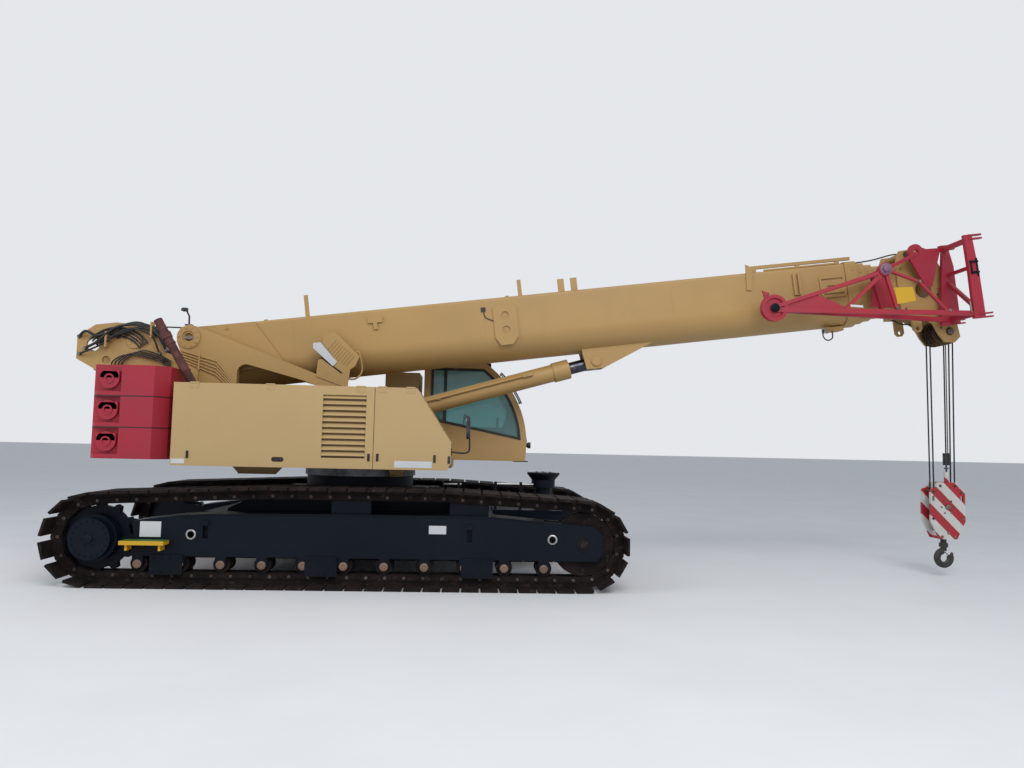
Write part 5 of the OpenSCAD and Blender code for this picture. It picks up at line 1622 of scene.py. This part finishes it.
    def mirror(self) -> None:
        """Makes the mirror on its bent tube, and the lamp low on the cab."""
        stem = Shape().hose([(1.391, -1.3, 1.81), (1.5, -1.3, 1.8), (1.581, -1.3, 1.8), (1.635, -1.3, 1.831),
                             (1.64, -1.3, 1.95), (1.627, -1.3, 2.158)], 0.013, 10, 8)
        stem.slab((1.3905, -1.35, 1.76), (1.398, -1.25, 1.86), 0.002)
        stem.bolts([(1.398, y, z) for y in (-1.335, -1.265) for z in (1.775, 1.845)], (1, 0, 0), 0.008, 0.006)
        stem.piece("mirror_arm", Coat.PLASTIC, smooth=True, stands_for=("cab_mirror",))
        shell = ((1.59, 0.06, 0.14), (1.596, 0.08, 0.16), (1.62, 0.08, 0.16), (1.64, 0.062, 0.14), (1.648, 0.03, 0.09))
        glass = ((1.5885, 0.054, 0.134), (1.591, 0.054, 0.134))
        for name, finish, rows in (("mirror_shell", Coat.PLASTIC, shell), ("mirror_glass", MIRROR, glass)):
            rings = [np.insert(rounded(a, b, 0.5, 28) + self.mirror_at, 0, x, axis=1) for x, a, b in rows]
            whole = name == "mirror_shell"
            Shape().loft(np.array(rings)).piece(name, finish, smooth=whole, stands_for=("cab_mirror",) if whole else ())
        lamp = Shape().slab((2.5625, 0.685, 1.885), (2.58, 0.725, 1.955), 0.004)
        lamp.revolve([(0, 0.03), (0.012, 0.046), (0.055, 0.052), (0.058, 0.052), (0.058, 0.045), (0.05, 0.043),
                      (0.05, 0)], self.lamp_at, (1, 0, 0), 32)
        lamp.piece("work_lamp", Coat.PLASTIC, smooth=True, stands_for=("cab_mirror",))
        lens = Shape().revolve([(0.0505, 0.043), (0.054, 0.036), (0.056, 0)], self.lamp_at, (1, 0, 0), 24)
        lens.piece("work_lamp_lens", LAMP_GLASS, smooth=True)

    def cushion(self, place: Place, half: Point, crown: float, channels: int) -> Shape:
        """A crowned, sewn cushion.

        With p and q from -1 to 1 over its face, the outline pulls in between its corners as
        x = a p (1 - 0.05 cos(pi q / 2)), and the face stands at c (1 - p^6)^0.4 (1 - q^6)^0.4 plus the crown
        k (1 - p^2)(1 - q^2), less a narrow groove 0.006 exp(-(d / 0.012)^2) at each sewn channel.

        Args:
            place: its frame, with its thickness along the third axis.
            half: its half sizes.
            crown: how far its middle stands over its rim.
            channels: how many sewn grooves run across it.

        Returns:
            The shape.
        """
        a, b, c = half
        t = np.linspace(-1, 1, 41)
        t = np.sign(t) * np.abs(t) ** 0.8
        p, q = np.meshgrid(t, t, indexing="ij")
        x = a * p * (1 - 0.05 * np.cos(np.pi * q / 2) * p**2)
        y = b * q * (1 - 0.04 * np.cos(np.pi * p / 2) * q**2)
        rim = np.maximum(0, 1 - p**6) ** 0.4 * np.maximum(0, 1 - q**6) ** 0.4
        groove = sum(0.006 * np.exp(-(((p - s) * a) / 0.012) ** 2) for s in np.linspace(-0.55, 0.55, channels))
        upper = c * rim + crown * (1 - p**2) * (1 - q**2) - groove * rim
        grid = np.arange(p.size).reshape(p.shape)
        quads = np.stack([grid[:-1, :-1], grid[1:, :-1], grid[1:, 1:], grid[:-1, 1:]], axis=-1).reshape(-1, 4)
        shape = Shape(place)
        for z, faces in ((upper, quads), (-c * rim, quads[:, ::-1])):
            shape.add(np.column_stack([x.ravel(), y.ravel(), z.ravel()]), [tuple(f) for f in faces.tolist()])
        return shape

    def seat(self) -> None:
        """Makes the driver's seat: cushions with piped edges on a sprung foot, with arm rests."""
        lean, x, y = math.radians(12.0), self.seat_x, self.middle

        def flat(p: np.ndarray) -> np.ndarray:
            """The seat cushion's frame."""
            return AXES.slew(p + [x, y, 2.065])

        def leant(p: np.ndarray) -> np.ndarray:
            """The back's frame: first axis up the back, third out of its face."""
            along = np.column_stack([-p[:, 0] * math.sin(lean) + p[:, 2] * math.cos(lean), p[:, 1],
                                     p[:, 0] * math.cos(lean) + p[:, 2] * math.sin(lean)])
            return AXES.slew(along + [1.118, y, 2.475])

        def head(p: np.ndarray) -> np.ndarray:
            """The head rest's frame."""
            return leant(p + [0.41, 0, 0])

        for name, place, half, crown, channels, fill in (
                ("seat_cushion", flat, (0.255, 0.245, 0.05), 0.022, 3, 0.75),
                ("seat_back", leant, (0.335, 0.235, 0.048), 0.018, 4, 0.75),
                ("head_rest", head, (0.085, 0.13, 0.04), 0.012, 1, 0.8)):
            pad = self.cushion(place, half, crown, channels)
            made = pad.piece(name, Coat.CLOTH, smooth=True, stands_for=("cab_seat",))
            edge = np.insert(rounded(half[0] * 0.985, half[1] * 0.985, 0.35, 61, True), 2, 0, axis=1)
            Shape(place).tube(edge, 0.006, 6).piece(f"{name}_piping", Coat.PLASTIC, smooth=True)
        folds = [(0.03 + 0.03 * k, 0.145 - 0.02 * (k % 2)) for k in range(9)]
        foot = Shape().revolve([(0, 0.15), (0.02, 0.15), *folds, (0.3, 0.16), (0.315, 0.16)], (x, y, self.floor),
                               (0, 0, 1), 28)
        foot.slab((x - 0.24, y - 0.2, 2.006), (x + 0.22, y + 0.2, 2.026), 0.006)
        for side in SIDES:
            inner, stick, outer = y + side * 0.27, y + side * 0.31, y + side * 0.315
            foot.slab((x - 0.18, inner, 2.2), (x + 0.16, y + side * 0.345, 2.245), 0.014)
            foot.slab((x - 0.19, y + side * 0.275, 2.02), (x - 0.14, outer, 2.21), 0.006)
            foot.slab((x - 0.19, y + side * 0.19, 2.008), (x - 0.14, outer, 2.03), 0.004)
            foot.hose([(x + 0.13, stick, 2.24), (x + 0.135, stick, 2.31), (x + 0.15, stick, 2.36)], 0.012, steps=5)
            foot.revolve([(0, 0.014), (0.02, 0.026), (0.07, 0.022), (0.085, 0)], (x + 0.148, stick, 2.345),
                         (0.25, 0, 1), 14)
        foot.piece("seat_foot_and_arms", Coat.PLASTIC, smooth=True, stands_for=("cab_seat",))

    def controls(self) -> None:
        """Makes the console, its screen, the pedals and the panel behind the seat."""
        y, low = self.middle, self.floor + 0.0005
        console = Shape().prism([(1.93, low), (2.17, low), (2.17, 2.02), (2.1, 2.15), (2.02, 2.12), (1.93, 1.95)],
                                y - 0.18, 0.36)
        console.slab((2.075, y - 0.15, 2.16), (2.115, y + 0.15, 2.37), 0.008)
        console.tube([(2.09, y, 2.1), (2.095, y, 2.2)], 0.018)
        for dy in (-0.12, 0, 0.12):
            console.slab((1.86, y + dy - 0.04, low), (1.93, y + dy + 0.04, 1.76), 0.008)
        console.piece("console", Coat.PLASTIC, stands_for=("cab_seat",))
        Shape().slab((2.0735, y - 0.13, 2.18), (2.0755, y + 0.13, 2.35), 0.0008).piece("load_screen", SCREEN)
        trim = Shape().slab((0.93, 0.67, 1.71), (0.98, 1.47, 2.6), 0.012)
        trim.slab((1, 0.668, 1.71), (2.2, 0.68, 2.2), 0.004).piece("cab_trim", TRIM)


@dataclass(frozen=True)
class Boom:
    """Fittings of the boom and its head, on the boom's own axes: along, beside and across.

    Attributes:
        base_len, step: length of the base section, and how far each collar stands out of the one before.
        sections: how many telescopic sections it has.
        top, side: heights of the base section's top and of its side from the middle.
        shrink: how much smaller each section is, on every side.
        lug_u, lug_w: the luffing cylinder's pin.
        seams, rollers: where the weld seams and the rope's rollers lie.
        rope_end: where the rope leaves the base section.
        head_u: where the head starts.
        pad_half, pad_proud: half a wear pad's plate, and how far it stands out.
        hub: middle of the folded jib's hub, on the jib's own axes.
    """

    base_len: float = 10.15
    step: float = 0.14
    sections: int = 5
    top: float = 0.175
    side: float = 0.38
    shrink: float = 0.03
    lug_u: float = 5.96
    lug_w: float = -0.93
    seams: tuple[float, ...] = (1.45, 4.3, 7.2)
    rollers: tuple[float, ...] = (1.0, 4.7, 9.85)
    rope_end: float = 9.98
    head_u: float = 10.85
    pad_half: float = 0.035
    pad_proud: float = 0.004
    hub: Point = (-1.26, -0.05, -0.08)

    def build(self) -> None:
        """Makes the pieces."""
        self.base()
        self.collars()
        self.rope()
        self.cylinder()
        self.head()
        self.jib()

    def base(self) -> None:
        """Makes the base section's pin caps, sensor, weld seams and lamp lens."""
        bolts, welds = Shape(AXES.boom), Shape(AXES.boom)
        for side in SIDES:
            out = (0, side, 0)
            bolts.cap((self.lug_u, side * 0.19, self.lug_w), out, 0.085, 0.016, (0.004, 0.007), 28)
            bolts.bolt_ring((self.lug_u, side * 0.205, self.lug_w), out, 0.055, 4)
            bolts.bolts([(u, side * 0.43, w) for u, w in ((-0.06, 0.02), (0, 0.1), (0.5, 0.1), (0.5, -0.42),
                                                          (0.95, -0.3))], out, 0.012)
            for u in self.seams:
                welds.slab((u, side * (self.side - 0.001), -0.38),
                           (u + 0.006, side * (self.side + 0.0018), 0.13), 0.001)
        for u in self.seams:
            welds.slab((u, -0.34, self.top - 0.001), (u + 0.006, 0.34, self.top + 0.0018), 0.001)
        bolts.bolts([(self.base_len - 0.09, side * 0.29, self.top + 0.022) for side in SIDES], (0, 0, 1), 0.016)
        bolts.piece("base_bolts", Coat.OCHRE, "boom")
        welds.piece("base_weld_seams", Coat.OCHRE, "boom")
        sensor = Shape(AXES.boom).slab((4.265, -0.392, -0.03), (4.335, -0.379, 0.04), 0.003)
        sensor.hose([(4.3, -0.39, -0.03), (4.33, -0.392, -0.12), (4.44, -0.395, -0.18)], 0.006)
        sensor.piece("length_sensor", Coat.PLASTIC, "boom")
        turn = math.radians(110)
        lamp = Shape(AXES.boom).revolve([(0.0805, 0.054), (0.0805, 0.048), (0.076, 0.046), (0.076, 0)],
                                        (9.7, -0.19, -0.8), (-math.sin(turn), 0, math.cos(turn)), 24)
        lamp.piece("boom_lamp_lens", LAMP_GLASS, "boom", True)

    def collars(self) -> None:
        """Makes the wear pads' plates and bolts on each collar."""
        h, proud, up = self.pad_half, self.pad_proud, (0, 0, 1)
        for k in range(self.sections + 1):
            u, s = self.base_len + self.step * k, self.shrink * k
            body = "boom" if k == 0 else ("boom_top" if k == self.sections else f"boom_section_{k}")
            grow = 0.022 if k == 0 else 0.014
            pads, half, top = Shape(AXES.boom), self.side - s + grow, self.top - s + grow
            rear, middle, front = u - 0.09, u - 0.06, u - 0.03
            for side in SIDES:
                out, y = side * (half + proud), side * 0.2
                for w in (top - 0.12, top - 0.3):
                    pads.slab((rear, side * (half - 0.001), w - h), (front, out, w + h), 0.002)
                    pads.bolts([(middle, out, w + e) for e in (-0.018, 0.018)], (0, side, 0), 0.009, 0.006)
                pads.slab((rear, y - h, top - 0.001), (front, y + h, top + proud), 0.002)
                pads.bolts([(middle, y + e, top + proud) for e in (-0.018, 0.018)], up, 0.009, 0.006)
            pads.piece(f"wear_pad_plates_{k}", Coat.OCHRE, body)

    def rope(self) -> None:
        """Makes the hoist rope along the boom's top and its rollers."""
        w, end, u0 = self.top + 0.04, self.rope_end, self.head_u
        for name, body, points, steps in (
                ("boom_rope", "boom", [(0.28, 0, 0.21), (0.6, 0, 0.214), (1.2, 0, w), (5, 0, w), (end, 0, w)], 6),
                ("head_rope", "boom_top", [(end, 0, w), (10.6, 0, w + 0.03), (u0 + 0.2, 0, 0.306),
                                           (u0 + 0.56, 0, 0.216), (u0 + 0.82, 0.02, -0.25), (u0 + 0.94, 0.05, -1)], 8)):
            Shape(AXES.boom).hose(points, 0.011, steps=steps).piece(name, Coat.ROPE, body, True)
        rollers, ears = Shape(AXES.boom), Shape(AXES.boom)
        for u in self.rollers:
            rollers.tube([(u, -0.1, self.top + 0.018), (u, 0.1, self.top + 0.018)], 0.0105, 12)
            for side in SIDES:
                ears.slab((u - 0.03, side * 0.1, self.top - 0.001), (u + 0.03, side * 0.112, self.top + 0.06), 0.003)
        rollers.piece("rope_rollers", Coat.STEEL, "boom", True)
        ears.piece("rope_roller_ears", Coat.OCHRE, "boom")

    def cylinder(self) -> None:
        """Makes the luffing cylinder's gland bolts, port blocks, hoses and wiper ring."""
        metal, hose, ahead = Shape(AXES.cylinder), Shape(AXES.cylinder), (1, 0, 0)
        metal.bolt_ring((3.5971, 0, 0), ahead, 0.125, 14, 0.011)
        metal.revolve([(0, 0.134), (0.01, 0.134), (0.01, 0.15), (0, 0.15)], (3.34, 0, 0), ahead, 48, "joined")
        metal.slab((0.26, -0.19, 0.02), (0.4, -0.12, 0.1), 0.006)
        metal.slab((0.22, -0.075, 0.125), (0.42, 0.075, 0.17), 0.008)
        metal.bolts([(x, y, 0.17) for x in (0.25, 0.39) for y in (-0.05, 0.05)], (0, 0, 1), 0.012)
        metal.bolts([(x, -0.179, 0.06) for x in (0.465, 1.53, 2.89)], (0, -1, 0), 0.01)
        metal.slab((2.92, -0.18, 0.035), (3.02, -0.11, 0.085), 0.005)
        metal.piece("cylinder_fittings", Coat.OCHRE, "luff_barrel")
        hose.revolve([(0, 0.096), (0.008, 0.106), (0.014, 0.106), (0.014, 0.096)], (3.5972, 0, 0), ahead, 48, "joined")
        for y in (-0.03, 0.03):
            hose.hose([(0.32, y, 0.168), (0.3, y, 0.26), (0.16, y, 0.3), (0.02, y, 0.24), (-0.06, y, 0.1)], 0.016, 10)
        hose.hose([(0.33, -0.155, 0.1), (0.3, -0.155, 0.2), (0.18, -0.1, 0.27), (0.02, -0.09, 0.2),
                   (-0.05, -0.09, 0.06)], 0.014, 10)
        hose.piece("cylinder_hoses", Coat.HOSE, "luff_barrel", True)

    def head(self) -> None:
        """Makes the head's pin caps, the cable loop and the limit switch's cable."""
        caps, u0 = Shape(AXES.boom), self.head_u
        for side in SIDES:
            out = (0, side, 0)
            caps.cap((u0 + 0.73, side * 0.3, -1.05), out, 0.052, 0.014, (0.004, 0.008), 20)
            for u, w in ((0.2, 0.24), (0.56, 0.15)):
                caps.revolve([(0, 0.046), (0.012, 0.046), (0.012, 0)], (u0 + u, side * 0.28, w), out, 20)
                caps.bolt_ring((u0 + u, side * 0.292, w), out, 0.03, 4, 0.007)
            caps.bolts([(u0 + u, side * 0.28, w) for u, w in ((0.08, 0.02), (0.08, -0.3), (0.08, -0.62), (0.62, -0.45),
                                                              (0.7, -0.75), (0.6, -0.98))], out)
        caps.piece("head_pin_caps", PIN_STEEL, "boom_top")
        loop = [(9.599, -0.2, -0.808), (9.575, -0.2, -0.9), (9.605, -0.2, -0.965), (9.66, -0.2, -0.985),
                (9.722, -0.2, -0.95), (9.76, -0.14, -0.845)]
        Shape(AXES.boom).hose(loop, 0.01).piece("cable_loop", Coat.HOSE, "boom", True)
        cable = [(u0 + 0.05, 0.1, -0.745), (u0 + 0.2, 0.12, -0.82), (u0 + 0.38, 0.12, -0.86), (u0 + 0.52, 0.1, -1.02)]
        Shape(AXES.boom).hose(cable, 0.012).piece("limit_switch_cable", Coat.HOSE, "boom_top", True)

    def jib(self) -> None:
        """Makes the folded jib's blank plates, its hub, its bolts and its pins."""
        plate = Shape(AXES.jib).prism([(-1.18, -0.37), (-1.16, -0.62), (-0.89, -0.6), (-0.91, -0.39)], -0.042, 0.01)
        plate.piece("jib_blank_plate", YELLOW_PLATE, "boom_top")
        hub, steel, near = Shape(AXES.jib), Shape(AXES.jib), (0, -1, 0)
        hub.revolve([(0, 0.088), (0.01, 0.088), (0.016, 0.078), (0.016, 0.05), (0.04, 0.048), (0.046, 0.036),
                     (0.046, 0)], self.hub, near, 28)
        hub.piece("jib_hub", HUB_PAINT, "boom_top", True)
        steel.bolt_ring((self.hub[0], -0.066, self.hub[2]), near, 0.064, 8, 0.008)
        steel.bolts([(x, -0.03, z) for x, z in ((-2.88, -0.47), (-0.42, -0.8), (-0.79, -0.32), (-1.17, -0.68))], near,
                    0.02, 0.018)
        steel.tube([(-0.12, -0.034, -0.88), (-0.12, -0.034, -0.7)], 0.014, 10)
        steel.piece("jib_bolts", PIN_STEEL, "boom_top")
        strip = Shape(AXES.jib).prism([(-1.84, -0.545), (-1.66, -0.58), (-1.66, -0.612), (-1.84, -0.577)], -0.034,
                                      0.005)
        strip.piece("jib_white_strip", WHITE_PLATE, "boom_top")
        pins, u0, y = Shape(AXES.boom), self.head_u, -1.083
        pins.tube([(u0 + 0.77, y, -0.07), (u0 + 0.77, y, -0.34)], 0.014, 10)
        pins.tube([(u0 + 0.68, y, -0.1), (u0 + 0.68, y, -0.3)], 0.014, 10)
        for w in (-0.12, -0.28):
            pins.slab((u0 + 0.66, -1.1, w - 0.015), (u0 + 0.79, -1.079, w + 0.015), 0.003)
        for side in SIDES:
            pins.revolve([(0, 0.068), (0.012, 0.068), (0.022, 0.045), (0.03, 0.045), (0.03, 0)],
                         (u0 + 0.71 - 2.93, -0.725 + side * 0.045, -0.463), (0, side, 0), 24)
        pins.piece("jib_pins", Coat.DARK, "boom_top")


@dataclass(frozen=True)
class HookGear:
    """The rope's wraps over the sheaves, and the block's bolts, guards and clamps, plumb under the head.

    Attributes:
        head_wrap, block_wrap: radii of the rope's middle round the head's and the block's sheaves.
        fall_y: distance of the falls from the middle.
        drop: depth of the block's middle below the head sheaves' axle.
        cheek: outer face of the block's cheeks.
        axle: height of the block's axle over its middle.
        clamp_x: where the rope's dead end hangs.
    """

    head_wrap: float = 0.187
    block_wrap: float = 0.167
    fall_y: float = 0.05
    drop: float = 2.818
    cheek: float = 0.14
    axle: float = 0.06
    clamp_x: float = 0.0716

    def build(self) -> None:
        """Makes the pieces."""
        rope = Shape(AXES.head)
        over = arc((0, 0), self.head_wrap, 0, 180, 22)
        under = arc((0, self.axle - self.drop), self.block_wrap, 180, 360, 22)
        for y in (-self.fall_y, self.fall_y):
            rope.tube(at_y(over, y), 0.0112).tube(at_y(under, y), 0.0112)
        rope.piece("rope_wraps", Coat.ROPE, "hook_gear", True)
        self.block()

    def block(self) -> None:
        """Makes the block's bolts, rope guards and clamps."""
        def local(p: np.ndarray) -> np.ndarray:
            """Points measured from the block's middle."""
            return AXES.head(np.asarray(p, float) - [0, 0, self.drop])

        bolts, black, clamp, x = Shape(local), Shape(local), Shape(local), self.clamp_x
        spots = [(-0.12, 0.39), (0.12, 0.39), (-0.22, 0.29), (0.22, 0.29), (-0.24, -0.12), (0.24, -0.12), (-0.1, -0.4),
                 (0.1, -0.4), (0, -0.34)]
        for side in SIDES:
            face, out = side * self.cheek, (0, side, 0)
            bolts.bolts([(x, face, z) for x, z in spots], out, 0.018, 0.014)
            bolts.bolt_ring((0, face, self.axle), out, 0.105, 6)
            bolts.cap((0, face, self.axle), out, 0.04, 0.024, (0.004, 0.01), 20, 0.0105)
        bolts.piece("block_bolts", PIN_STEEL, "hook_gear")
        for start, stop in ((205, 258), (-25, -78)):
            guard = [arc((0, self.axle), 0.215, start, stop, 12), arc((0, self.axle), 0.207, stop, start, 12)]
            black.prism(np.vstack(guard), -0.0995, 0.199)
        for end in (0.21, -0.21):
            black.tube([(end, -0.1, 0.3), (end, 0.1, 0.3)], 0.014, 12)
        black.piece("block_guards", Coat.HOOK, "hook_gear")
        for z in (0.66, 0.74):
            clamp.slab((x - 0.03, -0.022, z - 0.012), (x + 0.03, 0.022, z + 0.012), 0.004)
            clamp.bolts([(x + e, -0.022, z) for e in (-0.018, 0.018)], (0, -1, 0), 0.007)
        clamp.piece("rope_clamps", Coat.STEEL, "hook_gear")


NODE_FINISHES: tuple[tuple[object, tuple[str, ...]], ...] = (
    (Coat.CRIMSON, ("counterweights", "jib_adapter")),
    (Coat.DARK, ("undercarriage", "track_frame_right", "track_frame_left", "support_jack",
                 "final_drive_right", "final_drive_left", "engine_block")),
    (Coat.STEP, ("step_right", "step_left")),
    (Coat.TRACK, ("track_right", "track_left", "wheels_right", "wheels_left", "winch_drum")),
    (Coat.STEEL, ("slew_ring",)),
    (Coat.ROD, ("luff_rod",)),
    (Coat.ROPE, ("hoist_falls",)),
    (Coat.SHEAVE, ("head_sheaves", "block_sheaves")),
    (Coat.PIPE, ("exhaust",)),
    (Coat.HOSE, ("tail_hoses",)),
    (Coat.GLASS, ("cab_windows",)),
    (Coat.CLOTH, ("cab_seat",)),
    (Coat.PLASTIC, ("cab_mirror", "limit_weight")),
    (Coat.HOOK, ("hook",)),
    (Coat.BLOCK, ("hook_block",)),
    (COVER_PAINT, ("engine_housing", "engine_door_rear", "engine_door_front", "left_housing")),
    (CAB_PAINT, ("cab_shell", "cab_door")),
)


def dress_nodes() -> None:
    """Gives every CAD node its finish; a node that no row lists is ochre."""
    listed = {node: finish for finish, nodes in NODE_FINISHES for node in nodes}
    for name, obj in frame["nodes"].items():
        material = PALETTE.of(listed.get(name, Coat.OCHRE))
        if not obj.material_slots:
            obj.data.materials.append(material)
        for slot in obj.material_slots:
            slot.material = material
        log.info("dressed %s", name)


def main() -> None:
    """Builds the scene."""
    Viewpoint().build()
    Studio().build()
    dress_nodes()
    assemblies = (Crawler(-1), Crawler(1), CentreBox(), Covers(), Ballast(), TailGear(), Cab(), Boom(), HookGear())
    for assembly in assemblies:
        log.info("building %s", type(assembly).__name__)
        assembly.build()


if __name__ == "__main__":
    main()
